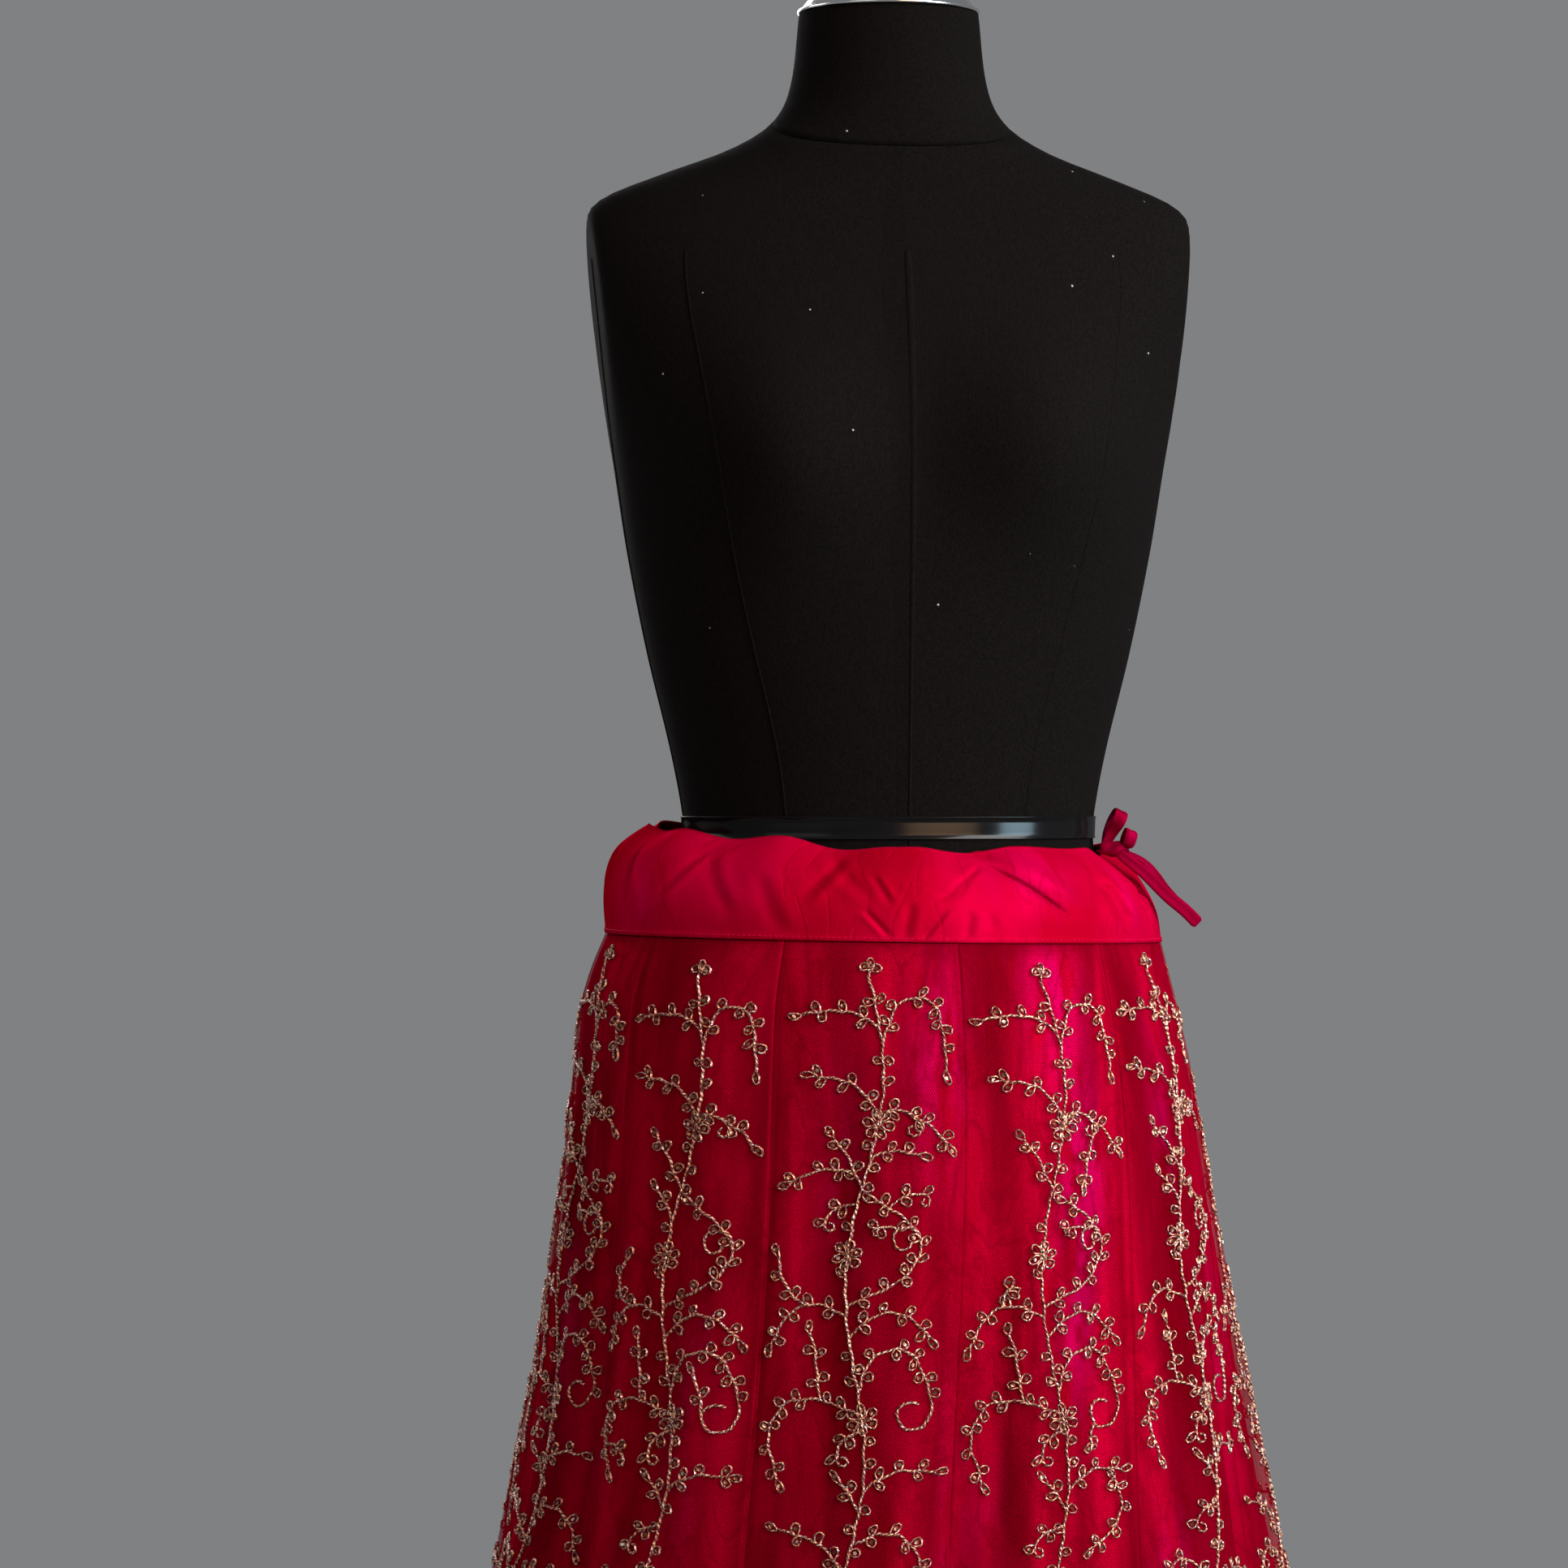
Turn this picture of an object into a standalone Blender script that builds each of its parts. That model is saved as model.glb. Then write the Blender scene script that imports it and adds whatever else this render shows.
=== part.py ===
"""A lehenga skirt on a limbless dress form.

The skirt is twelve flared net kalis over six satin lining gores, gathered into a satin waistband
whose drawstring is tied in a bow at the wearer's left side. The dress form is a cloth-covered torso
with a neck, a metal cap and a glossy waist belt, carried by a pole on a round base.

Metres, +Z up. The origin is on the floor under the pole. The front of the skirt faces -Y, and an
angle round the body is measured from the front towards +X.
"""

import math
from collections import namedtuple

import bmesh
import bpy
from mathutils import Matrix, Vector

# ---- Driving dimensions ------------------------------------------------------------------------

SEAM_GAP = 0.0003  # between pieces that are sewn or laid together
SEAM_HEIGHT = 1.035  # where the kalis are sewn to the waistband
SEAM_SLOPE = 0.003  # the seam is this much higher at the right side, and lower at the left
SEAM_SLOPE_END = 0.850  # below this height the cloth hangs level
WAISTBAND_TOP = 1.0985
TOP_SLOPE = 0.0065  # the waistband's top is higher at the right side, where nothing pulls it in
TOP_DIP_FRONT = 0.0045
NET_HEM = 0.020
LINING_HEM = 0.028

NET_WALL = 0.0010
LINING_WALL = 0.0010
WAISTBAND_WALL = 0.0023
LINING_GAP = 0.0030  # free space between net and lining, once clear of the seam
LINING_GAP_FALL = 0.150  # the height over which that space opens below the seam

KALI_COUNT = 12
KALIS_OVER_A_GORE = 2
KALI_TURN = math.radians(-8.0)  # the front kali sits a little to the right side at the waist
KALI_LEAN = math.radians(-6.5)  # and hangs further to that side below it
KALI_LEAN_END = 0.550
FRONT_EASE = 0.167  # the waist is drawn up more at the back, so front kalis are wider there
FRONT_EASE_END = 0.600  # the height where all kalis are equally wide
KALI_COLUMNS = 8
NET_ROWS = (SEAM_HEIGHT, 0.985, 0.920, 0.840, 0.720, 0.540, 0.290, NET_HEM)
LINING_ROWS = (SEAM_HEIGHT, 0.970, 0.880, 0.740, 0.520, 0.280, LINING_HEM)

WAISTBAND_OPENING = math.radians(75.0)  # where its two ends meet, under the bow
WAISTBAND_COLUMNS = 96
WAISTBAND_ROWS = 6

BELT_HEIGHT = 1.103
BELT_WIDTH = 0.0135
BELT_THICKNESS = 0.0016

BODY_COLUMNS = 36
BUST_HEIGHT = 1.335
BUST_SPACING = 0.086
BUST_DEPTH = 0.030
BUST_REACH_ACROSS = 0.058
BUST_REACH_UP = 0.062
ARMHOLE_OFFSET = 0.1780
ARMHOLE_HEIGHT = 1.400
ARMHOLE_TILT = math.radians(-6.0)
NECK_SEAM_HEIGHT = 1.5370
NECK_SEAM_TILT = math.radians(20.0)

CAP_STEPS = 28
POLE_RADIUS = 0.0125
BASE_RADIUS = 0.200
BASE_THICKNESS = 0.010
BASE_BEVEL = 0.003
ROUND_SEGMENTS = 48

CORD_WIDTH = 0.0075
CORD_THICKNESS = 0.0022
LOOP_WIDTH = 0.0070
KNOT_CENTRE = (0.1340, -0.0330, 1.0897)
KNOT_SIZE = (0.0088, 0.0058, 0.0046)

# ---- Tables --------------------------------------------------------------------------------------

# The skirt's outline at the crests of its folds, from the waist seam to the hem. Left and right are
# the wearer's, so left is +X.
Section = namedtuple("Section", "height left right front back")
SKIRT_SECTIONS = (
    Section(1.035, 0.1690, 0.1745, 0.1270, 0.1330),
    Section(1.015, 0.1740, 0.1830, 0.1325, 0.1400),
    Section(0.995, 0.1790, 0.1890, 0.1380, 0.1475),
    Section(0.953, 0.1880, 0.1945, 0.1480, 0.1590),
    Section(0.870, 0.2020, 0.2045, 0.1650, 0.1780),
    Section(0.758, 0.2220, 0.2220, 0.1885, 0.2020),
    Section(0.648, 0.2450, 0.2450, 0.2150, 0.2290),
    Section(0.500, 0.2790, 0.2790, 0.2530, 0.2660),
    Section(0.330, 0.3180, 0.3180, 0.2960, 0.3070),
    Section(0.170, 0.3550, 0.3550, 0.3350, 0.3440),
    Section(0.020, 0.3900, 0.3900, 0.3700, 0.3770),
)

# The waistband, drawn in at its top by the drawstring. Down is 0 at its top edge and 1 at its seam.
Band = namedtuple("Band", "down left right front back")
WAISTBAND_SECTIONS = (
    Band(0.00, 0.1342, 0.1490, 0.1040, 0.1060),
    Band(0.10, 0.1430, 0.1600, 0.1090, 0.1130),
    Band(0.25, 0.1530, 0.1690, 0.1155, 0.1205),
    Band(0.48, 0.1620, 0.1748, 0.1218, 0.1278),
    Band(0.70, 0.1670, 0.1760, 0.1255, 0.1315),
    Band(1.00, 0.1690, 0.1745, 0.1270, 0.1330),
)

# Soft tucks round the waistband, where its top edge dips and the cloth folds in.
Tuck = namedtuple("Tuck", "angle spread depth dip")
TUCKS = (
    Tuck(-18, 13, 0.0028, 0.0040),
    Tuck(14, 15, 0.0040, 0.0050),
    Tuck(49, 17, 0.0025, 0.0010),
    Tuck(75, 18, 0.0030, 0.0085),
    Tuck(107, 16, 0.0040, 0.0035),
    Tuck(136, 14, 0.0030, 0.0045),
    Tuck(165, 18, 0.0042, 0.0030),
    Tuck(196, 14, 0.0030, 0.0040),
    Tuck(228, 17, 0.0038, 0.0030),
    Tuck(258, 13, 0.0028, 0.0045),
    Tuck(284, 15, 0.0034, 0.0030),
    Tuck(314, 16, 0.0032, 0.0040),
)

# One fold valley at each kali seam, round the skirt from the front kali's left seam.
Fold = namedtuple("Fold", "hem_depth start spread")
FOLDS = (
    Fold(0.030, 0.960, 0.90),
    Fold(0.042, 0.940, 0.84),
    Fold(0.024, 0.900, 0.96),
    Fold(0.044, 0.970, 0.80),
    Fold(0.034, 0.920, 0.92),
    Fold(0.048, 0.985, 0.86),
    Fold(0.028, 0.940, 0.98),
    Fold(0.044, 0.960, 0.82),
    Fold(0.036, 0.930, 0.90),
    Fold(0.046, 0.975, 0.84),
    Fold(0.026, 0.905, 0.96),
    Fold(0.040, 0.950, 0.86),
)
FOLD_GROWTH = 1.4  # a fold deepens faster towards the hem

# The dress form from its underside to the top of its neck. Squareness is the superellipse power.
Body = namedtuple("Body", "height half_width front back squareness")
BODY_SECTIONS = (
    Body(0.800, 0.1480, 0.0960, 0.1060, 2.2),
    Body(0.850, 0.1670, 0.1080, 0.1230, 2.3),
    Body(0.910, 0.1725, 0.1120, 0.1290, 2.3),
    Body(0.970, 0.1650, 0.1080, 0.1200, 2.2),
    Body(1.030, 0.1450, 0.0990, 0.1030, 2.1),
    Body(1.070, 0.1300, 0.0925, 0.0945, 2.1),
    Body(1.094, 0.1266, 0.0905, 0.0920, 2.1),
    Body(1.110, 0.1270, 0.0905, 0.0920, 2.1),
    Body(1.150, 0.1345, 0.0930, 0.0960, 2.1),
    Body(1.210, 0.1490, 0.0985, 0.1040, 2.2),
    Body(1.270, 0.1610, 0.1030, 0.1100, 2.3),
    Body(1.330, 0.1710, 0.1040, 0.1140, 2.4),
    Body(1.385, 0.1830, 0.0990, 0.1130, 2.4),
    Body(1.425, 0.1910, 0.0900, 0.1060, 2.4),
    Body(1.452, 0.1940, 0.0800, 0.0960, 2.3),
    Body(1.473, 0.1900, 0.0700, 0.0850, 2.2),
    Body(1.488, 0.1760, 0.0640, 0.0760, 2.1),
    Body(1.503, 0.1400, 0.0595, 0.0680, 2.0),
    Body(1.518, 0.1000, 0.0570, 0.0615, 2.0),
    Body(1.534, 0.0740, 0.0555, 0.0580, 2.0),
    Body(1.556, 0.0615, 0.0545, 0.0560, 2.0),
    Body(1.604, 0.0552, 0.0535, 0.0545, 2.0),
)
WAIST_LEVELS = (1.082, 1.103, 1.122)  # extra rings of the torso where the belt lies

# The neck cap's outer profile, from its top to its rim.
CAP_PROFILE = ((0.0, 1.6270), (0.0180, 1.6256), (0.0345, 1.6210), (0.0480, 1.6130), (0.0552, 1.6045))

# The drawstring: each tail's route and each bow loop's outline, across and up, in its own plane.
FRONT_TAIL = ((0.1398, 1.0853), (0.1523, 1.0755), (0.1665, 1.0620), (0.1776, 1.0525), (0.1867, 1.0440))
FRONT_TAIL_DEPTH = -0.0375
BACK_TAIL = ((0.1490, 1.0838), (0.1565, 1.0815), (0.1645, 1.0730), (0.1735, 1.0620), (0.1820, 1.0520))
BACK_TAIL_DEPTH = -0.0310
TALL_LOOP = (
    (0.0000, 0.0000),
    (-0.0045, 0.0060),
    (-0.0045, 0.0125),
    (0.0005, 0.0165),
    (0.0080, 0.0160),
    (0.0095, 0.0110),
    (0.0040, 0.0060),
)
TALL_LOOP_TURN = math.radians(-45)
SMALL_LOOP_TURN = math.radians(15)
SMALL_LOOP = ((0.0000, 0.0000), (0.0005, 0.0050), (0.0038, 0.0088), (0.0075, 0.0075), (0.0065, 0.0020))


# ---- Materials and objects -----------------------------------------------------------------------


def make_material(name, colour, roughness, metallic=0.0):
    """A plain Principled material."""
    material = bpy.data.materials.new(name)
    material.use_nodes = True
    shader = material.node_tree.nodes["Principled BSDF"]
    shader.inputs["Base Color"].default_value = (*colour, 1.0)
    shader.inputs["Roughness"].default_value = roughness
    shader.inputs["Metallic"].default_value = metallic
    return material


def clear_scene():
    for obj in list(bpy.data.objects):
        bpy.data.objects.remove(obj)


def new_collection(name):
    collection = bpy.data.collections.new(name)
    bpy.context.scene.collection.children.link(collection)
    return collection


def add_object(name, data, material, collection):
    """Link a new object, with its own material, to the collection."""
    obj = bpy.data.objects.new(name, data)
    data.materials.append(material)
    collection.objects.link(obj)
    return obj


def mesh_from(name, bm):
    """A smooth-shaded mesh from the bmesh, which it frees."""
    mesh = bpy.data.meshes.new(name)
    bm.to_mesh(mesh)
    bm.free()
    mesh.shade_smooth()
    mesh.set_sharp_from_angle(angle=math.radians(40))
    return mesh


def thicken(obj, wall):
    """Turn the open surface into a wall that grows inwards from it."""
    solidify = obj.modifiers.new("Wall", "SOLIDIFY")
    solidify.thickness = wall
    solidify.offset = -1.0
    solidify.use_even_offset = False


# ---- Curves through the tables -------------------------------------------------------------------


def read_table(rows, key):
    """The columns after the first, smoothly between rows whose first column rises or falls."""
    rows = sorted(rows)
    key = min(max(key, rows[0][0]), rows[-1][0])
    index = max(i for i in range(len(rows) - 1) if rows[i][0] <= key)
    low, high = rows[index], rows[index + 1]
    span = high[0] - low[0]
    t = (key - low[0]) / span

    def slope(at, column):
        before = rows[max(at - 1, 0)]
        after = rows[min(at + 1, len(rows) - 1)]
        return (after[column] - before[column]) / (after[0] - before[0])

    values = []
    for column in range(1, len(low)):
        values.append(
            low[column] * (1 + 2 * t) * (1 - t) ** 2
            + high[column] * t * t * (3 - 2 * t)
            + slope(index, column) * span * t * (1 - t) ** 2
            + slope(index + 1, column) * span * t * t * (t - 1)
        )
    return values


def smoothstep(t):
    t = min(max(t, 0.0), 1.0)
    return t * t * (3 - 2 * t)


# ---- The skirt's surface -------------------------------------------------------------------------


def oval_point(sizes, angle):
    """A point on an oval with its own left, right, front and back sizes, and its outward normal."""
    left, right, front, back = sizes
    half_width = left if math.sin(angle) > 0 else right
    depth = front if math.cos(angle) > 0 else back
    point = Vector((half_width * math.sin(angle), -depth * math.cos(angle), 0.0))
    normal = Vector((math.sin(angle) / half_width, -math.cos(angle) / depth, 0.0)).normalized()
    return point, normal


def body_angle(cloth_angle, height):
    """Where round the body a line of cloth hangs: front kalis spread and turn near the waist."""
    ease = FRONT_EASE * smoothstep((height - FRONT_EASE_END) / (SEAM_HEIGHT - FRONT_EASE_END))
    lean = KALI_LEAN * smoothstep((SEAM_HEIGHT - height) / (SEAM_HEIGHT - KALI_LEAN_END))
    return cloth_angle + lean + ease * math.sin(cloth_angle)


def waist_lift(cloth_angle, height):
    """How much a level line of the cloth rises or sinks near the sloping waist seam."""
    near = smoothstep((height - SEAM_SLOPE_END) / (SEAM_HEIGHT - SEAM_SLOPE_END))
    return -SEAM_SLOPE * near * math.sin(cloth_angle)


def seam_angle(index):
    """The cloth angle of the seam on the low side of kali number index."""
    return (index - 0.5) * math.tau / KALI_COUNT + KALI_TURN


def fold_depth(cloth_angle, height):
    """How far the cloth lies inside the outline, in the valleys between the kalis."""
    depth = 0.0
    for index, fold in enumerate(FOLDS):
        away = math.remainder(cloth_angle - seam_angle(index), math.tau)
        across = away / (fold.spread * math.pi / KALI_COUNT)
        down = (fold.start - height) / (fold.start - NET_HEM)
        if abs(across) < 1 and down > 0:
            depth += fold.hem_depth * down**FOLD_GROWTH * (1 + math.cos(math.pi * across)) / 2
    return depth


def net_point(cloth_angle, height):
    """A point on the outer face of the net."""
    sizes = read_table(SKIRT_SECTIONS, height)
    point, outward = oval_point(sizes, body_angle(cloth_angle, height))
    point.z = height + waist_lift(cloth_angle, height)
    return point - outward * fold_depth(cloth_angle, height)


def net_normal(cloth_angle, height):
    step = 0.0005
    across = net_point(cloth_angle + step, height) - net_point(cloth_angle - step, height)
    up = net_point(cloth_angle, height + step) - net_point(cloth_angle, height - step)
    return across.cross(up).normalized()


def lining_point(cloth_angle, height):
    """A point on the outer face of the lining: the net's point, moved in."""
    opened = smoothstep((SEAM_HEIGHT - height) / LINING_GAP_FALL)
    inside = NET_WALL + SEAM_GAP + (LINING_GAP - SEAM_GAP) * opened
    return net_point(cloth_angle, height) - net_normal(cloth_angle, height) * inside


def tuck_share(tuck, angle):
    """How deep the cloth is in the tuck at that angle, from 0 to 1."""
    away = math.remainder(angle - math.radians(tuck.angle), math.tau) / math.radians(tuck.spread)
    return (1 + math.cos(math.pi * away)) / 2 if abs(away) < 1 else 0.0


def waistband_point(angle, down):
    """A point on the waistband's outer face, down being 0 at its top and 1 at its seam."""
    drawn_in = (1 - down) ** 1.5
    tuck_in = drawn_in * sum(tuck.depth * tuck_share(tuck, angle) for tuck in TUCKS)
    dip = sum(tuck.dip * tuck_share(tuck, angle) for tuck in TUCKS)
    top = WAISTBAND_TOP - TOP_SLOPE * math.sin(angle) - TOP_DIP_FRONT * math.cos(angle) - dip
    bottom = SEAM_HEIGHT + SEAM_GAP + waist_lift(angle, SEAM_HEIGHT)
    point, outward = oval_point(read_table(WAISTBAND_SECTIONS, down), angle)
    point.z = top + (bottom - top) * down
    return point - outward * tuck_in


# ---- Cloth pieces --------------------------------------------------------------------------------


def cloth_grid(name, columns, rows, place):
    """An open grid, each vertex placed by place(across, down), both from 0 to 1."""
    bm = bmesh.new()
    bmesh.ops.create_grid(bm, x_segments=columns, y_segments=rows, size=0.5)
    for vert in bm.verts:
        vert.co = place(round((vert.co.x + 0.5) * columns), round((0.5 - vert.co.y) * rows))
    return mesh_from(name, bm)


def panel_mesh(name, first, last, levels, surface):
    """A flared panel from one kali seam to another, half a seam gap in from each."""
    start, end = seam_angle(first), seam_angle(last)
    columns = KALI_COLUMNS * (last - first)

    def place(column, row):
        height = levels[row]
        left, _, front, _ = read_table(SKIRT_SECTIONS, height)
        margin = SEAM_GAP / (left + front)
        share = column / columns
        return surface(start + margin + (end - start - 2 * margin) * share, height)

    return cloth_grid(name, columns, len(levels) - 1, place)


def make_kalis(collection, material):
    """The embroidered net kalis, the outer layer of the skirt."""
    for index in range(KALI_COUNT):
        name = f"net_kali_{index + 1:02d}"
        mesh = panel_mesh(name, index, index + 1, NET_ROWS, net_point)
        thicken(add_object(name, mesh, material, collection), NET_WALL)


def make_lining(collection, material):
    """The satin gores that show through the net, each as wide as two kalis."""
    for first in range(0, KALI_COUNT, KALIS_OVER_A_GORE):
        name = f"lining_gore_{first // KALIS_OVER_A_GORE + 1}"
        mesh = panel_mesh(name, first, first + KALIS_OVER_A_GORE, LINING_ROWS, lining_point)
        thicken(add_object(name, mesh, material, collection), LINING_WALL)


def make_waistband(collection, material):
    """One satin strip round the waist, its two ends meeting where the drawstring comes out."""
    margin = SEAM_GAP / WAISTBAND_SECTIONS[0].left / 2

    def place(column, row):
        share = column / WAISTBAND_COLUMNS
        angle = WAISTBAND_OPENING + margin + (math.tau - 2 * margin) * share
        return waistband_point(angle, row / WAISTBAND_ROWS)

    mesh = cloth_grid("waistband", WAISTBAND_COLUMNS, WAISTBAND_ROWS, place)
    thicken(add_object("waistband", mesh, material, collection), WAISTBAND_WALL)


# ---- The drawstring ------------------------------------------------------------------------------


def smooth_path(points, steps):
    """A Catmull-Rom curve through the points, steps to each span."""
    ends = [2 * points[0] - points[1], *points, 2 * points[-1] - points[-2]]
    path = []
    for before, start, stop, after in zip(ends, ends[1:], ends[2:], ends[3:]):
        for step in range(steps):
            t = step / steps
            path.append(
                0.5
                * (
                    2 * start
                    + (stop - before) * t
                    + (2 * before - 5 * start + 4 * stop - after) * t**2
                    + (3 * start - before - 3 * stop + after) * t**3
                )
            )
    return [*path, points[-1]]


def flat_cord_curve(name, points, width, cyclic=False):
    """A flattened cord along the points, its edges rounded."""
    curve = bpy.data.curves.new(name, "CURVE")
    curve.dimensions = "2D" if cyclic else "3D"
    curve.fill_mode = "NONE" if cyclic else "FULL"
    curve.extrude = (width - CORD_THICKNESS) / 2
    curve.bevel_depth = CORD_THICKNESS / 2
    curve.bevel_resolution = 1
    curve.use_fill_caps = True
    spline = curve.splines.new("POLY")
    spline.points.add(len(points) - 1)
    spline.use_cyclic_u = cyclic
    for target, point in zip(spline.points, points):
        target.co = (*point, 1.0)
    return curve


def make_tail(name, route, depth, collection, material):
    """A free end of the drawstring, its flat face forwards."""
    points = [Vector((x, depth, z)) for x, z in route]
    curve = flat_cord_curve(name, smooth_path(points, 3), CORD_WIDTH)
    curve.twist_mode = "Z_UP"
    add_object(name, curve, material, collection)


def make_loop(name, outline, place, turn, collection, material):
    """A loop of the bow, standing up from the knot."""
    points = [Vector((x, z, 0.0)) for x, z in outline]
    middle = smooth_path([*points, points[0]], 2)[:-1]
    loop = add_object(name, flat_cord_curve(name, middle, LOOP_WIDTH, cyclic=True), material, collection)
    loop.location = place
    loop.rotation_euler = (math.pi / 2, 0.0, turn)


def make_knot(collection, material):
    bm = bmesh.new()
    bmesh.ops.create_uvsphere(bm, u_segments=14, v_segments=8, radius=1.0)
    bmesh.ops.scale(bm, vec=KNOT_SIZE, verts=bm.verts)
    knot = add_object("drawstring_knot", mesh_from("drawstring_knot", bm), material, collection)
    knot.location = KNOT_CENTRE


def make_drawstring(collection, material):
    """The knot at the waistband's opening, two bow loops above it and two hanging tails."""
    make_knot(collection, material)
    x, y, z = KNOT_CENTRE
    half_width, _, half_height = KNOT_SIZE
    clear = CORD_THICKNESS / 2 + SEAM_GAP
    tall_place = (x + 0.0005, y, z + half_height + clear + 0.0007)
    make_loop("drawstring_loop_tall", TALL_LOOP, tall_place, TALL_LOOP_TURN, collection, material)
    small_place = (x + half_width + clear, y, z + clear)
    make_loop("drawstring_loop_small", SMALL_LOOP, small_place, SMALL_LOOP_TURN, collection, material)
    make_tail("drawstring_tail_front", FRONT_TAIL, FRONT_TAIL_DEPTH, collection, material)
    make_tail("drawstring_tail_back", BACK_TAIL, BACK_TAIL_DEPTH, collection, material)


# ---- The dress form ------------------------------------------------------------------------------


def signed_power(value, power):
    return math.copysign(abs(value) ** power, value)


def body_point(angle, height, out=0.0):
    """A point on the dress form's surface, moved out level by out."""
    half_width, front, back, squareness = read_table(BODY_SECTIONS, height)
    depth = front if math.cos(angle) > 0 else back
    x = (half_width + out) * signed_power(math.sin(angle), 2 / squareness)
    y = -(depth + out) * signed_power(math.cos(angle), 2 / squareness)
    if math.cos(angle) > 0:
        across = (abs(x) - BUST_SPACING) / BUST_REACH_ACROSS
        up = (height - BUST_HEIGHT) / BUST_REACH_UP
        y -= BUST_DEPTH * math.exp(-across * across - up * up) * math.cos(angle) ** 0.5
    return Vector((x, y, height))


def loft(rings):
    """A closed body through the rings, bottom to top, with flat ends."""
    bm = bmesh.new()
    levels = [[bm.verts.new(point) for point in ring] for ring in rings]
    count = len(rings[0])
    for low, high in zip(levels, levels[1:]):
        for i in range(count):
            j = (i + 1) % count
            bm.faces.new((low[i], low[j], high[j], high[i]))
    bm.faces.new(list(reversed(levels[0])))
    bm.faces.new(levels[-1])
    return bm


def body_loft():
    heights = sorted([row.height for row in BODY_SECTIONS] + list(WAIST_LEVELS))
    angles = [math.tau * i / BODY_COLUMNS for i in range(BODY_COLUMNS)]
    return loft([[body_point(angle, height) for angle in angles] for height in heights])


def cut_away(bm, point, normal):
    """Remove what lies on the normal's side of the plane, and close the cut with a flat face."""
    everything = list(bm.verts) + list(bm.edges) + list(bm.faces)
    cut = bmesh.ops.bisect_plane(bm, geom=everything, plane_co=point, plane_no=normal, dist=1e-6, clear_outer=True)
    edges = [item for item in cut["geom_cut"] if isinstance(item, bmesh.types.BMEdge)]
    bmesh.ops.edgenet_fill(bm, edges=edges)
    bmesh.ops.recalc_face_normals(bm, faces=list(bm.faces))


def neck_plane():
    """A point on the neck seam's plane and its upward normal: the seam dips at the front."""
    normal = Matrix.Rotation(NECK_SEAM_TILT, 3, "X") @ Vector((0, 0, 1))
    return Vector((0, 0, NECK_SEAM_HEIGHT)), normal


def make_torso(collection, material):
    """The torso up to the neck seam, its shoulders ending in flat ovals where arms would start."""
    bm = body_loft()
    point, normal = neck_plane()
    cut_away(bm, point, normal)
    for side in (-1, 1):
        outward = Vector((side * math.cos(ARMHOLE_TILT), 0, math.sin(ARMHOLE_TILT)))
        cut_away(bm, Vector((side * ARMHOLE_OFFSET, 0, ARMHOLE_HEIGHT)), outward)
    add_object("form_torso", mesh_from("form_torso", bm), material, collection)


def make_neck(collection, material):
    bm = body_loft()
    point, normal = neck_plane()
    cut_away(bm, point + normal * SEAM_GAP, -normal)
    add_object("form_neck", mesh_from("form_neck", bm), material, collection)


def make_belt(collection, material):
    """The glossy black belt round the form's waist."""
    count = BODY_COLUMNS * 2
    bottom = BELT_HEIGHT - BELT_WIDTH / 2
    top = BELT_HEIGHT + BELT_WIDTH / 2
    bm = bmesh.new()
    corners = ((SEAM_GAP * 2, bottom), (BELT_THICKNESS, bottom), (BELT_THICKNESS, top), (SEAM_GAP * 2, top))
    rings = []
    for i in range(count):
        angle = math.tau * i / count
        rings.append([bm.verts.new(body_point(angle, height, out)) for out, height in corners])
    for i in range(count):
        here, there = rings[i], rings[(i + 1) % count]
        for a in range(4):
            b = (a + 1) % 4
            bm.faces.new((here[a], there[a], there[b], here[b]))
    bmesh.ops.recalc_face_normals(bm, faces=list(bm.faces))
    add_object("form_belt", mesh_from("form_belt", bm), material, collection)


def make_cap(collection, material):
    """The domed metal cap on the neck, a turned profile."""
    profile = bmesh.new()
    verts = [profile.verts.new((x, 0.0, z)) for x, z in (*CAP_PROFILE, (0.0, CAP_PROFILE[-1][1]))]
    for start, stop in zip(verts, verts[1:]):
        profile.edges.new((start, stop))
    cap = add_object("form_neck_cap", mesh_from("form_neck_cap", profile), material, collection)
    screw = cap.modifiers.new("Turn", "SCREW")
    screw.steps = CAP_STEPS
    screw.render_steps = CAP_STEPS
    screw.use_merge_vertices = True
    screw.merge_threshold = 0.00001


def add_cylinder(name, radius, bottom, top, segments, material, collection):
    bm = bmesh.new()
    bmesh.ops.create_cone(bm, cap_ends=True, segments=segments, radius1=radius, radius2=radius, depth=top - bottom)
    obj = add_object(name, mesh_from(name, bm), material, collection)
    obj.location.z = (bottom + top) / 2
    return obj


def make_stand(collection, material):
    """A steel pole from the base to the torso, and the round base that stands on the floor."""
    pole_bottom = BASE_THICKNESS + SEAM_GAP
    pole_top = BODY_SECTIONS[0].height - SEAM_GAP
    add_cylinder("stand_pole", POLE_RADIUS, pole_bottom, pole_top, 20, material, collection)
    base = add_cylinder("stand_base", BASE_RADIUS, 0.0, BASE_THICKNESS, ROUND_SEGMENTS, material, collection)
    bevel = base.modifiers.new("Rounded rim", "BEVEL")
    bevel.width = BASE_BEVEL
    bevel.segments = 2
    bevel.limit_method = "ANGLE"


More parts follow.
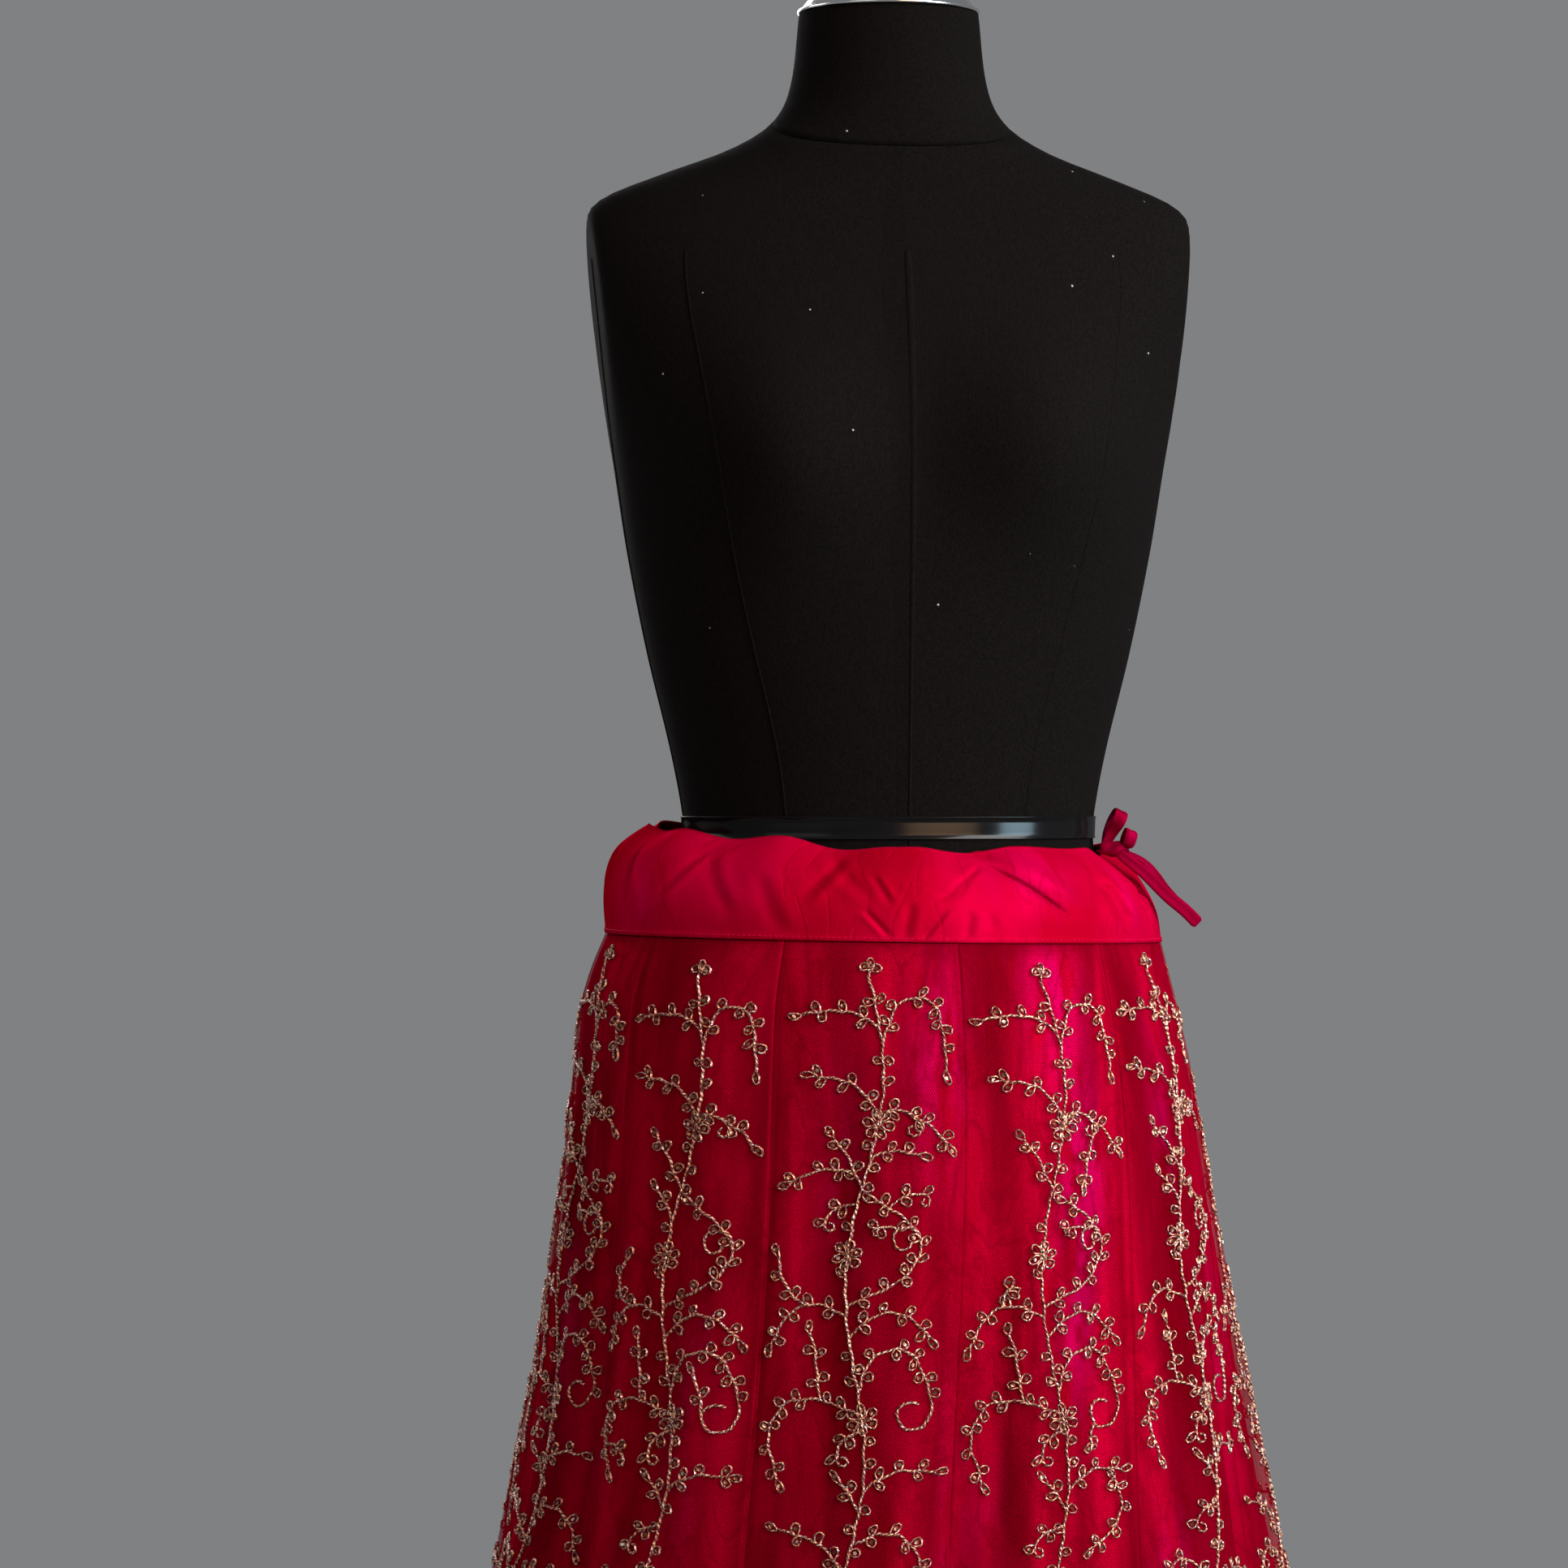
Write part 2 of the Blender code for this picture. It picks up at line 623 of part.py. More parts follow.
def main():
    clear_scene()
    collection = new_collection("lehenga_skirt_on_dress_form")
    net = make_material("crimson_net", (0.55, 0.0, 0.03), 0.7)
    lining = make_material("crimson_satin_lining", (0.75, 0.0, 0.05), 0.35)
    satin = make_material("crimson_satin", (0.78, 0.0, 0.06), 0.35)
    cord = make_material("satin_cord", (0.62, 0.0, 0.06), 0.45)
    jersey = make_material("black_jersey", (0.012, 0.011, 0.012), 0.85)
    belt = make_material("black_gloss", (0.010, 0.010, 0.011), 0.12)
    chrome = make_material("chrome", (0.8, 0.8, 0.8), 0.1, 1.0)
    make_kalis(collection, net)
    make_lining(collection, lining)
    make_waistband(collection, satin)
    make_drawstring(collection, cord)
    make_torso(collection, jersey)
    make_neck(collection, jersey)
    make_belt(collection, belt)
    make_cap(collection, chrome)
    make_stand(collection, chrome)


main()
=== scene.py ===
"""The looks of a lehenga skirt on a limbless dress form.

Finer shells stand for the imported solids: a satin waistband, embroidered net over a satin lining, a
tied drawstring and the jersey-covered form. Angles run round the body from the front towards +X.
Lengths are in metres and the tables' angles in degrees. BAND_RADIUS and the like turn a piece's
angles into metres, for its creases and UVs.
"""

import math
from collections import namedtuple

import bmesh
import bpy
import numpy as np
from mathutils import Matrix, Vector


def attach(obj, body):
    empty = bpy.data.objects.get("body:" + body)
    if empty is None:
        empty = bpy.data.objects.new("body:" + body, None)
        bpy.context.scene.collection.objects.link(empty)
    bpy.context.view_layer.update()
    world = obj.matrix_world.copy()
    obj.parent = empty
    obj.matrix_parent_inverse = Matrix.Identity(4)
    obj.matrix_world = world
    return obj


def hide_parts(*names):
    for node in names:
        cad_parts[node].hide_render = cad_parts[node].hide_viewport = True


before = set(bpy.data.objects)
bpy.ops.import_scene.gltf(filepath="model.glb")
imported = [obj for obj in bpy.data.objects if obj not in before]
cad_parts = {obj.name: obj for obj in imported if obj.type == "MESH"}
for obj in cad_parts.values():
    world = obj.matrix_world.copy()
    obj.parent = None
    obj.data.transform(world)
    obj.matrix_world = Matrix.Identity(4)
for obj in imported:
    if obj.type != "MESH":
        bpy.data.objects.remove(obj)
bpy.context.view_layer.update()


def table(names, *rows):
    """Rows of values with a name for each column."""
    kind = namedtuple("Row", names)
    return tuple(kind(*row) for row in rows)


# ---- Sizes shared with the solids ----------------------------------------------------------------

SEAM_GAP = 0.0003
SEAM_HEIGHT = 1.035
SEAM_SLOPE = 0.003
SEAM_SLOPE_END = 0.850
WAISTBAND_TOP = 1.0985
WAISTBAND_DEPTH = 0.0635
TOP_SLOPE = 0.0065
TOP_DIP_FRONT = 0.0045
WAISTBAND_OPENING = math.radians(75.0)
NET_HEM = 0.020
LINING_HEM = 0.028
NET_WALL = 0.0010
LINING_GAP = 0.0030
LINING_GAP_FALL = 0.150
KALI_COUNT = 12
KALIS_OVER_A_GORE = 2
KALI_TURN = math.radians(-8.0)
KALI_LEAN = math.radians(-6.5)
KALI_LEAN_END = 0.550
FRONT_EASE = 0.167
FRONT_EASE_END = 0.600
FOLD_GROWTH = 1.4
BELT_HEIGHT = 1.103
BELT_WIDTH = 0.0135
BELT_THICKNESS = 0.0016
BUST_HEIGHT = 1.335
BUST_SPACING = 0.086
BUST_DEPTH = 0.030
BUST_REACH_ACROSS = 0.058
BUST_REACH_UP = 0.062
ARMHOLE_OFFSET = 0.1780
ARMHOLE_HEIGHT = 1.400
ARMHOLE_TILT = math.radians(-6.0)
NECK_SEAM_HEIGHT = 1.5370
NECK_SEAM_TILT = math.radians(20.0)
CORD_WIDTH = 0.0075
CORD_THICKNESS = 0.0022
LOOP_WIDTH = 0.0070
KNOT_CENTRE = (0.1340, -0.0330, 1.0897)
KNOT_SIZE = (0.0088, 0.0058, 0.0046)

# The skirt's outline at the crests of its folds, and the waistband's from its top edge to its seam.
SKIRT_SECTIONS = table(
    "height left right front back",
    (1.035, 0.169, 0.1745, 0.127, 0.133),
    (1.015, 0.174, 0.183, 0.1325, 0.14),
    (0.995, 0.179, 0.189, 0.138, 0.1475),
    (0.953, 0.188, 0.1945, 0.148, 0.159),
    (0.87, 0.202, 0.2045, 0.165, 0.178),
    (0.758, 0.222, 0.222, 0.1885, 0.202),
    (0.648, 0.245, 0.245, 0.215, 0.229),
    (0.5, 0.279, 0.279, 0.253, 0.266),
    (0.33, 0.318, 0.318, 0.296, 0.307),
    (0.17, 0.355, 0.355, 0.335, 0.344),
    (0.02, 0.39, 0.39, 0.37, 0.377),
)
WAISTBAND_SECTIONS = table(
    "down left right front back",
    (0.0, 0.1342, 0.149, 0.104, 0.106),
    (0.1, 0.143, 0.16, 0.109, 0.113),
    (0.25, 0.153, 0.169, 0.1155, 0.1205),
    (0.48, 0.162, 0.1748, 0.1218, 0.1278),
    (0.7, 0.167, 0.176, 0.1255, 0.1315),
    (1.0, 0.169, 0.1745, 0.127, 0.133),
)

# Soft tucks round the waistband's top, and one fold valley at each kali seam.
TUCKS = table(
    "angle spread depth dip",
    (-18, 13, 0.0028, 0.004),
    (-8, 24, 0.0, 0.0036),
    (14, 15, 0.004, 0.005),
    (49, 17, 0.0025, 0.001),
    (75, 18, 0.003, 0.0085),
    (107, 16, 0.004, 0.0035),
    (136, 14, 0.003, 0.0045),
    (165, 18, 0.0042, 0.003),
    (196, 14, 0.003, 0.004),
    (228, 17, 0.0038, 0.003),
    (258, 13, 0.0028, 0.0045),
    (284, 15, 0.0034, 0.003),
    (314, 16, 0.0032, 0.004),
)
FOLDS = table(
    "hem_depth start spread",
    (0.03, 0.96, 0.9),
    (0.042, 0.94, 0.84),
    (0.024, 0.9, 0.96),
    (0.044, 0.97, 0.8),
    (0.034, 0.92, 0.92),
    (0.048, 0.985, 0.86),
    (0.028, 0.94, 0.98),
    (0.044, 0.96, 0.82),
    (0.036, 0.93, 0.9),
    (0.046, 0.975, 0.84),
    (0.026, 0.905, 0.96),
    (0.04, 0.95, 0.86),
)

# The dress form from its underside to the top of its neck.
BODY_SECTIONS = table(
    "height half_width front back squareness",
    (0.8, 0.148, 0.096, 0.106, 2.2),
    (0.85, 0.167, 0.108, 0.123, 2.3),
    (0.91, 0.1725, 0.112, 0.129, 2.3),
    (0.97, 0.165, 0.108, 0.12, 2.2),
    (1.03, 0.145, 0.099, 0.103, 2.1),
    (1.07, 0.13, 0.0925, 0.0945, 2.1),
    (1.094, 0.1266, 0.0905, 0.092, 2.1),
    (1.11, 0.127, 0.0905, 0.092, 2.1),
    (1.15, 0.1345, 0.093, 0.096, 2.1),
    (1.21, 0.149, 0.0985, 0.104, 2.2),
    (1.27, 0.161, 0.103, 0.11, 2.3),
    (1.33, 0.171, 0.104, 0.114, 2.4),
    (1.385, 0.183, 0.099, 0.113, 2.4),
    (1.425, 0.191, 0.09, 0.106, 2.4),
    (1.452, 0.194, 0.08, 0.096, 2.3),
    (1.473, 0.19, 0.07, 0.085, 2.2),
    (1.488, 0.176, 0.064, 0.076, 2.1),
    (1.503, 0.14, 0.0595, 0.068, 2.0),
    (1.518, 0.1, 0.057, 0.0615, 2.0),
    (1.534, 0.074, 0.0555, 0.058, 2.0),
    (1.556, 0.0615, 0.0545, 0.056, 2.0),
    (1.604, 0.0552, 0.0535, 0.0545, 2.0),
)

# The neck cap's profile, and the drawstring's routes and loops, across and up.
CAP_PROFILE = ((0.0, 1.6270), (0.0180, 1.6256), (0.0345, 1.6210), (0.0480, 1.6130), (0.0552, 1.6045))
FRONT_TAIL = ((0.1398, 1.0853), (0.1523, 1.0755), (0.1665, 1.0620), (0.1776, 1.0525), (0.1867, 1.0440))
FRONT_TAIL_DEPTH = -0.0375
BACK_TAIL = ((0.1458, 1.0860), (0.1540, 1.0818), (0.1618, 1.0737), (0.1700, 1.0632), (0.1788, 1.0528))
BACK_TAIL_DEPTH = -0.0310
TALL_LOOP = (
    (0.0000, 0.0000),
    (-0.0045, 0.0060),
    (-0.0045, 0.0125),
    (0.0005, 0.0165),
    (0.0080, 0.0160),
    (0.0095, 0.0110),
    (0.0040, 0.0060),
)
SMALL_LOOP = ((0.0000, 0.0000), (0.0005, 0.0050), (0.0038, 0.0088), (0.0075, 0.0075), (0.0065, 0.0020))

# ---- Sizes of the finer cloth --------------------------------------------------------------------

CLOTH_WALL = 0.0006
WAISTBAND_WALL = 0.0023
NET_COLUMNS = 24
NET_ROWS = 88
NET_ROW_SPREAD = 1.08  # rows lie closer together at the waist than at the hem
NET_FIRST_ROW = 0.004  # an extra row of points this far below the waist seam
NET_SIDE_TURN = 0.030  # the turned-in side edge, as a share of the kali's width
NET_SIDE_COVER = 0.48  # how much of the net's openings is covered where its edge is turned in
NET_HEM_TURN = 0.006
NET_HEM_COVER = 0.62
GORE_COLUMNS = 48
GORE_ROWS = 88
BAND_STEP = math.radians(0.95)
BAND_FINE_STEP = math.radians(0.40)
BAND_FINE_RANGE = (math.radians(-20), math.radians(58))
BAND_LAST_COLUMNS = 18
BAND_ROWS = 50
BAND_INNER_STRIDE = 3
BAND_TURN_STEPS = 6
BAND_LIP = 0.0008  # the folded edge at the waistband's seam stands proud by this much
BAND_LIP_WIDTH = 0.0016
TUCK_FALL = 1.5  # the power with which a tuck dies away down the band
NET_RADIUS = 0.20
BAND_RADIUS = 0.155
NORMAL_STEP = 0.0006
BAND_NORMAL_STEP = -0.003  # the waistband's levels count down

# Creases pressed in: where each starts and ends, its half width, its depth, and how much of
# the depth stands up as a ridge on its right side (or its left, where negative). Level is a height
# on the skirt and, on the waistband, the share of the way down.
CREASE = "angle level end_angle end_level width depth lip"
CREASE_FADE = 0.28
RIDGE_PLACE = 1.7  # how far beside the crease its ridge stands, in half widths
BAND_CREASES = table(
    CREASE,
    (16.5, 0.1, 36.0, 0.76, 0.0014, 0.003, 0.0),
    (19.5, 0.02, 39.0, 0.58, 0.0075, -0.003, 0.0),
    (17.0, 0.12, 6.5, 0.43, 0.0015, 0.0018, 0.3),
    (14.5, 0.24, 4.0, 0.55, 0.0017, 0.0013, -0.3),
    (6.5, 0.62, 0.5, 0.98, 0.0018, 0.0015, 0.4),
    (-11.0, 0.62, -5.0, 0.98, 0.0018, 0.0014, -0.4),
    (-1.0, 0.54, -3.0, 1.0, 0.003, 0.0013, 0.4),
    (-9.0, 0.26, -5.0, 0.62, 0.0022, 0.0012, 0.5),
    (11.4, 0.62, 9.8, 0.97, 0.0032, 0.0011, 0.4),
    (15.4, 0.64, 16.0, 0.88, 0.0034, 0.0006, 0.3),
    (14.0, -0.05, 22.0, 0.12, 0.0018, 0.0014, -0.8),
    (52.0, 0.0, 43.0, 0.78, 0.006, 0.002, 0.5),
    (49.0, 0.28, 56.0, 0.86, 0.0055, 0.0026, 0.8),
    (84.0, 0.05, 62.0, 0.72, 0.0036, 0.002, 0.7),
    (70.0, 0.1, 66.0, 0.95, 0.0034, 0.0014, 0.6),
    (-14.0, 0.02, -24.0, 0.62, 0.0034, 0.0016, 0.7),
    (-20.0, 0.0, -8.0, 0.58, 0.004, 0.0014, -0.5),
    (-33.0, 0.3, -27.0, 0.98, 0.005, 0.0012, 0.5),
    (-46.0, 0.02, -60.0, 0.72, 0.0032, 0.002, 0.8),
    (-48.0, 0.05, -38.0, 0.8, 0.0044, 0.0016, 0.5),
    (-74.0, 0.1, -70.0, 0.94, 0.0055, 0.0018, 0.5),
    (-92.0, 0.0, -84.0, 0.6, 0.0036, 0.0016, -0.7),
    (106.0, 0.02, 121.0, 0.7, 0.003, 0.002, 0.8),
    (107.0, 0.04, 97.0, 0.86, 0.0046, 0.0016, 0.4),
    (135.0, 0.0, 126.0, 0.6, 0.0036, 0.0018, -0.6),
    (148.0, 0.3, 152.0, 1.0, 0.005, 0.0012, 0.5),
    (166.0, 0.02, 180.0, 0.66, 0.003, 0.0022, 0.8),
    (165.0, 0.05, 158.0, 0.78, 0.0044, 0.0012, 0.4),
    (196.0, 0.0, 205.0, 0.74, 0.0034, 0.0018, -0.6),
    (217.0, 0.35, 214.0, 1.0, 0.0048, 0.0012, 0.5),
    (229.0, 0.02, 241.0, 0.7, 0.0032, 0.002, 0.7),
    (256.0, 0.0, 250.0, 0.66, 0.004, 0.0016, 0.5),
    (284.0, 0.04, 293.0, 0.74, 0.0032, 0.0016, 0.8),
)

# Soft folds that the net and the lining share, between the valleys at the kali seams.
SHARED_FOLDS = table(
    CREASE,
    (-12.0, 1.02, -13.0, 0.3, 0.0105, 0.003, 0.5),
    (2.0, 0.99, 0.5, 0.42, 0.008, 0.0022, 0.6),
    (12.0, 1.015, 13.5, 0.62, 0.008, 0.0026, 0.6),
    (30.0, 1.0, 30.0, 0.34, 0.0095, 0.0028, -0.6),
    (46.0, 1.02, 47.0, 0.55, 0.0085, 0.0026, 0.6),
    (58.0, 0.96, 59.5, 0.3, 0.01, 0.0028, -0.5),
    (78.0, 1.02, 80.0, 0.4, 0.009, 0.0026, 0.6),
    (92.0, 0.98, 90.0, 0.26, 0.01, 0.0032, 0.5),
    (108.0, 1.02, 109.0, 0.52, 0.0085, 0.0028, -0.6),
    (121.0, 1.0, 124.0, 0.24, 0.01, 0.003, 0.5),
    (139.0, 1.02, 137.0, 0.46, 0.0085, 0.0028, 0.6),
    (152.0, 0.985, 154.0, 0.28, 0.0105, 0.003, -0.5),
    (171.0, 1.02, 169.0, 0.5, 0.0085, 0.0028, 0.6),
    (184.0, 0.99, 183.0, 0.24, 0.01, 0.003, 0.5),
    (199.0, 1.02, 201.0, 0.56, 0.0085, 0.0026, -0.6),
    (214.0, 1.01, 212.0, 0.3, 0.01, 0.0032, 0.6),
    (229.0, 1.02, 231.0, 0.44, 0.0085, 0.0026, 0.5),
    (246.0, 0.98, 244.0, 0.26, 0.01, 0.003, -0.5),
    (262.0, 1.02, 260.0, 0.58, 0.0085, 0.0026, 0.6),
    (277.0, 1.0, 276.0, 0.3, 0.0095, 0.0028, 0.5),
    (292.0, 1.02, 294.0, 0.46, 0.0085, 0.0026, -0.6),
    (307.0, 0.99, 305.0, 0.28, 0.01, 0.003, 0.6),
    (322.0, 1.02, 323.0, 0.6, 0.0085, 0.0024, 0.5),
    (334.0, 1.0, 335.0, 0.32, 0.0095, 0.0028, -0.5),
)

# Sharper tension lines in the satin lining, seen through the net.
LINING_CREASES = table(
    CREASE,
    (21.0, 1.034, 22.0, 0.985, 0.003, 0.0011, 0.9),
    (6.4, 1.034, 6.8, 0.88, 0.0026, 0.001, -0.9),
    (-3.0, 1.03, -5.0, 0.93, 0.004, 0.0009, 0.8),
    (15.5, 0.9, 15.8, 0.74, 0.003, 0.001, 0.9),
    (33.0, 0.94, 35.0, 0.7, 0.004, 0.001, -0.8),
    (-16.0, 1.0, -18.0, 0.76, 0.004, 0.001, 0.8),
    (-29.0, 1.03, -30.0, 0.86, 0.0036, 0.001, -0.9),
    (-44.0, 0.98, -42.0, 0.66, 0.0042, 0.001, 0.8),
    (44.0, 1.03, 42.0, 0.92, 0.0034, 0.001, 0.8),
    (72.0, 1.0, 70.0, 0.78, 0.004, 0.001, 0.8),
    (98.0, 1.03, 100.0, 0.9, 0.0036, 0.001, -0.9),
    (131.0, 1.01, 129.0, 0.76, 0.004, 0.001, 0.8),
    (160.0, 1.03, 163.0, 0.88, 0.0036, 0.001, 0.9),
    (191.0, 1.0, 189.0, 0.74, 0.004, 0.001, -0.8),
    (222.0, 1.03, 224.0, 0.9, 0.0036, 0.001, 0.9),
    (253.0, 1.01, 251.0, 0.76, 0.004, 0.001, 0.8),
    (286.0, 1.03, 284.0, 0.88, 0.0036, 0.001, -0.9),
)

# Long soft flutes in which the lining hangs under the net.
FLUTE_CREST = -0.0012  # how far a flute may swell towards the net
LINING_FLUTES = table(
    CREASE,
    (8.0, 1.02, 6.0, 0.16, 0.012, 0.0052, 0.5),
    (20.5, 0.96, 21.5, 0.1, 0.0085, 0.0036, 0.7),
    (37.0, 1.01, 38.0, 0.2, 0.012, 0.0054, -0.6),
    (53.0, 0.9, 55.0, 0.08, 0.01, 0.0046, 0.6),
    (66.0, 1.0, 68.0, 0.18, 0.012, 0.005, -0.5),
    (85.0, 0.94, 84.0, 0.1, 0.011, 0.005, 0.6),
    (101.0, 1.01, 103.0, 0.22, 0.012, 0.0052, 0.5),
    (115.0, 0.92, 114.0, 0.1, 0.0095, 0.0042, -0.7),
    (132.0, 1.01, 130.0, 0.16, 0.012, 0.0054, 0.6),
    (146.0, 0.9, 148.0, 0.08, 0.01, 0.0046, -0.5),
    (162.0, 1.0, 161.0, 0.2, 0.012, 0.005, 0.6),
    (177.0, 0.95, 178.0, 0.1, 0.0095, 0.0044, 0.5),
    (192.0, 1.01, 194.0, 0.18, 0.012, 0.0054, -0.6),
    (208.0, 0.93, 207.0, 0.08, 0.01, 0.0046, 0.6),
    (222.0, 1.0, 220.0, 0.2, 0.0115, 0.005, 0.5),
    (238.0, 0.96, 239.0, 0.12, 0.01, 0.0044, -0.6),
    (254.0, 1.01, 256.0, 0.18, 0.012, 0.0054, 0.6),
    (269.0, 0.91, 268.0, 0.08, 0.0095, 0.0044, -0.5),
    (285.0, 1.0, 286.0, 0.22, 0.012, 0.005, 0.6),
    (300.0, 0.94, 298.0, 0.1, 0.01, 0.0046, 0.5),
    (315.0, 1.01, 316.0, 0.18, 0.012, 0.0052, -0.6),
    (329.0, 0.92, 330.0, 0.1, 0.0095, 0.0042, 0.6),
    (343.5, 1.01, 342.0, 0.2, 0.012, 0.0054, 0.5),
    (356.0, 0.96, 355.0, 0.12, 0.0095, 0.0044, -0.6),
)

# Painted magenta sheen on the satin, where it would face the light: its centre, half sizes and strength.
PAINTED_SHEEN = "angle height half_angle half_height strength"
SATIN_PAINTED_SHEENS = table(
    PAINTED_SHEEN,
    (3.0, 0.965, 4.2, 0.055, 1.0),
    (24.5, 1.005, 5.0, 0.045, 1.0),
    (28.0, 0.9, 4.5, 0.05, 1.0),
    (26.0, 0.82, 4.0, 0.06, 1.0),
    (-12.0, 0.9, 5.0, 0.06, 0.3),
    (50.0, 0.94, 4.0, 0.06, 0.6),
    (68.0, 0.8, 5.0, 0.08, 0.5),
    (10.0, 0.7, 4.0, 0.07, 0.4),
    (44.0, 0.62, 4.0, 0.08, 0.6),
    (-34.0, 0.76, 4.0, 0.08, 0.4),
    (95.0, 0.93, 5.0, 0.06, 0.6),
    (122.0, 0.8, 4.0, 0.07, 0.5),
    (150.0, 0.95, 5.0, 0.05, 0.6),
    (178.0, 0.78, 4.0, 0.07, 0.5),
    (205.0, 0.92, 5.0, 0.06, 0.6),
    (236.0, 0.82, 4.0, 0.07, 0.5),
    (262.0, 0.95, 5.0, 0.05, 0.5),
    (292.0, 0.8, 4.0, 0.07, 0.5),
    (18.0, 0.43, 4.0, 0.09, 0.5),
    (112.0, 0.45, 4.0, 0.09, 0.5),
    (198.0, 0.42, 4.0, 0.09, 0.5),
    (282.0, 0.44, 4.0, 0.09, 0.5),
)
BAND_PAINTED_SHEENS = table(
    PAINTED_SHEEN,
    (28.0, 0.32, 10.0, 0.34, 0.55),
    (57.0, 0.62, 3.0, 0.3, 0.6),
    (-38.0, 0.45, 8.0, 0.3, 0.15),
    (-64.0, 0.6, 5.0, 0.3, 0.4),
    (112.0, 0.45, 7.0, 0.32, 0.5),
    (156.0, 0.5, 8.0, 0.3, 0.5),
    (202.0, 0.4, 8.0, 0.32, 0.5),
    (246.0, 0.55, 7.0, 0.3, 0.5),
)

STITCH_SPACING = 0.0032
STITCH_LENGTH = 0.0022
STITCH_HALF_WIDTH = 0.00022
STITCH_HEIGHT = 0.00025
STITCH_RISE = 0.0026
STITCH_TOP_SHARE = 0.7  # a stitch narrows to this share at its top

RIBBON_SIDES = 20
RIBBON_SQUARENESS = 0.8
RIBBON_GROOVE = 0.45
RIBBON_GROOVE_WIDTH = 0.32
RIBBON_RADIUS = 0.002
LOOP_STEPS = 6
LOOP_STRETCH = (0.85, 1.18)
LOOP_SWELL = 0.7  # the power with which a loop's cloth opens out away from the knot
LOOP_WIDENING = (0.85, 0.40)  # its width at the knot, and what is added where it opens
LOOP_THINNING = (0.9, -0.2)
LOOP_TWIST = (0.30, -0.45)
TALL_LOOP_TURN = math.radians(-84)
TALL_LOOP_LEAN = 0.42
TALL_LOOP_START = (-0.0040, -0.0012)  # from the knot's top
SMALL_LOOP_TURN = math.radians(-72)
SMALL_LOOP_LEAN = 0.25
SMALL_LOOP_START = (-0.0020, 0.0008)  # from the knot's side
TAIL_STEPS = 9
TAIL_START = (0.0015, -0.0010)  # from the knot's centre
TAIL_RIPPLE = 0.0003
TAIL_RIPPLE_TURN = 17
TAIL_START_SHARE = 0.80  # the tails are narrower than the cord where they leave the knot
TAIL_WIDENING_SHARE = 0.625
TAIL_THINNING = (1.1, -0.15)  # its thickness at the knot, and what is added by its end
TAIL_CUT_WIDTHS = (0.96, 0.70)
TAIL_CUT_THICKNESS = 0.6
FRONT_TAIL_END_SHARE = 1.08
BACK_TAIL_END_SHARE = 0.92
BACK_TAIL_TWIST = math.radians(62)
KNOT_ROWS = 26
KNOT_COLUMNS = 40
KNOT_POLES = (0.02, 0.98)  # where the core ends, as shares of a half turn
KNOT_SWELL = 1.06
KNOT_RADIUS = 0.004

FORM_COLUMNS = 120
FORM_RADIUS = 0.15
TORSO_ROWS = 120
TORSO_ROW_SPACING = 0.8
NECK_ROWS = 24
NECK_SEAM_STEPS = 12
CLIP_ROUNDING = 0.0016
FORM_SEAM_ROWS = 160
FORM_SEAM_HEIGHTS = (0.97, 1.45)
FORM_SEAM_BEND = 1.10  # a princess seam moves across the form over the stretch above this height
FORM_SEAM_BEND_LENGTH = 0.25
FORM_SEAM_WIDTH = 0.0011
FORM_SEAM_RADIUS = 0.12
FORM_SEAM_LIFT = (-0.0004, 0.0007, -0.0004)  # its edges lie just under the surface
FORM_SEAM_WALL = 0.0003
FORM_SEAMS = ((0, 0), (34, 40), (-34, -40), (90, 90), (-90, -90), (146, 140), (-146, -140), (180, 180))
BELT_COLUMNS = 220
BELT_RADIUS = 0.11
BELT_EDGE = ((0.000, 0.70), (0.012, 1.00), (0.034, 1.00), (0.062, 0.76), (0.300, 0.84))
BELT_PROFILE = (*BELT_EDGE, (0.500, 0.87), *((1 - up, out) for up, out in BELT_EDGE[::-1]))
CAP_COLUMNS = 96
CAP_STEPS = 8
CAP_RADIUS = 0.05
CAP_RIM = 0.0012
CAP_RIM_TURNS = np.linspace(0.6, 2.6, 6)
CAP_UNDERSIDE_SHARE = 0.9  # the rim turns in to this share of its radius
CAP_UNDERSIDE_DROP = 0.0002

CAMERA_DISTANCE = 3.4
CAMERA_HEIGHT = 1.1295
CAMERA_TURN = math.radians(-8.0)
FRAME_WIDTH = 0.966  # the width that the picture takes in at the form's axis
AXIS_RIGHT_OF_CENTRE = 0.0645
WORLD_COLOUR = (0.80, 0.81, 0.83, 1.0)
WORLD_STRENGTH = 0.27
FLOOR_RADIUS = 3.0
FLOOR_SIDES = 96
FLOOR_HEIGHT = -0.0005
LIGHTS = table(
    "name turn distance height aim_height width tall spread watts tint",
    ("key", 46, 1.45, 2.05, 1.14, 1.0, 1.0, 95, 12.0, (1.0, 0.98, 0.97)),
    ("fill", -40, 2.8, 1.90, 1.05, 1.6, 1.6, 180, 6.5, (1.0, 0.96, 0.94)),
    ("back", 190, 2.4, 2.00, 1.00, 1.8, 1.4, 180, 36.0, (1.0, 0.99, 0.98)),
    ("left", -110, 2.4, 1.90, 0.95, 1.4, 1.6, 180, 14.0, (1.0, 0.99, 0.98)),
    ("cool card", 54, 2.2, 1.38, 1.10, 0.75, 1.15, 60, 7.2, (0.58, 0.84, 1.0)),
    ("warm card", 20, 2.2, 1.38, 1.10, 1.05, 1.15, 60, 2.8, (1.0, 0.60, 0.34)),
)


# ---- Curves through the tables -------------------------------------------------------------------


def smoothstep(t):
    t = np.clip(t, 0.0, 1.0)
    return t * t * (3 - 2 * t)


def hump(across):
    """1 in the middle, falling softly to 0 at -1 and 1."""
    return np.where(np.abs(across) < 1, (1 + np.cos(math.pi * across)) / 2, 0.0)


def wrapped(angle):
    """The angle between -180 and 180 degrees, in radians."""
    return (angle + math.pi) % math.tau - math.pi


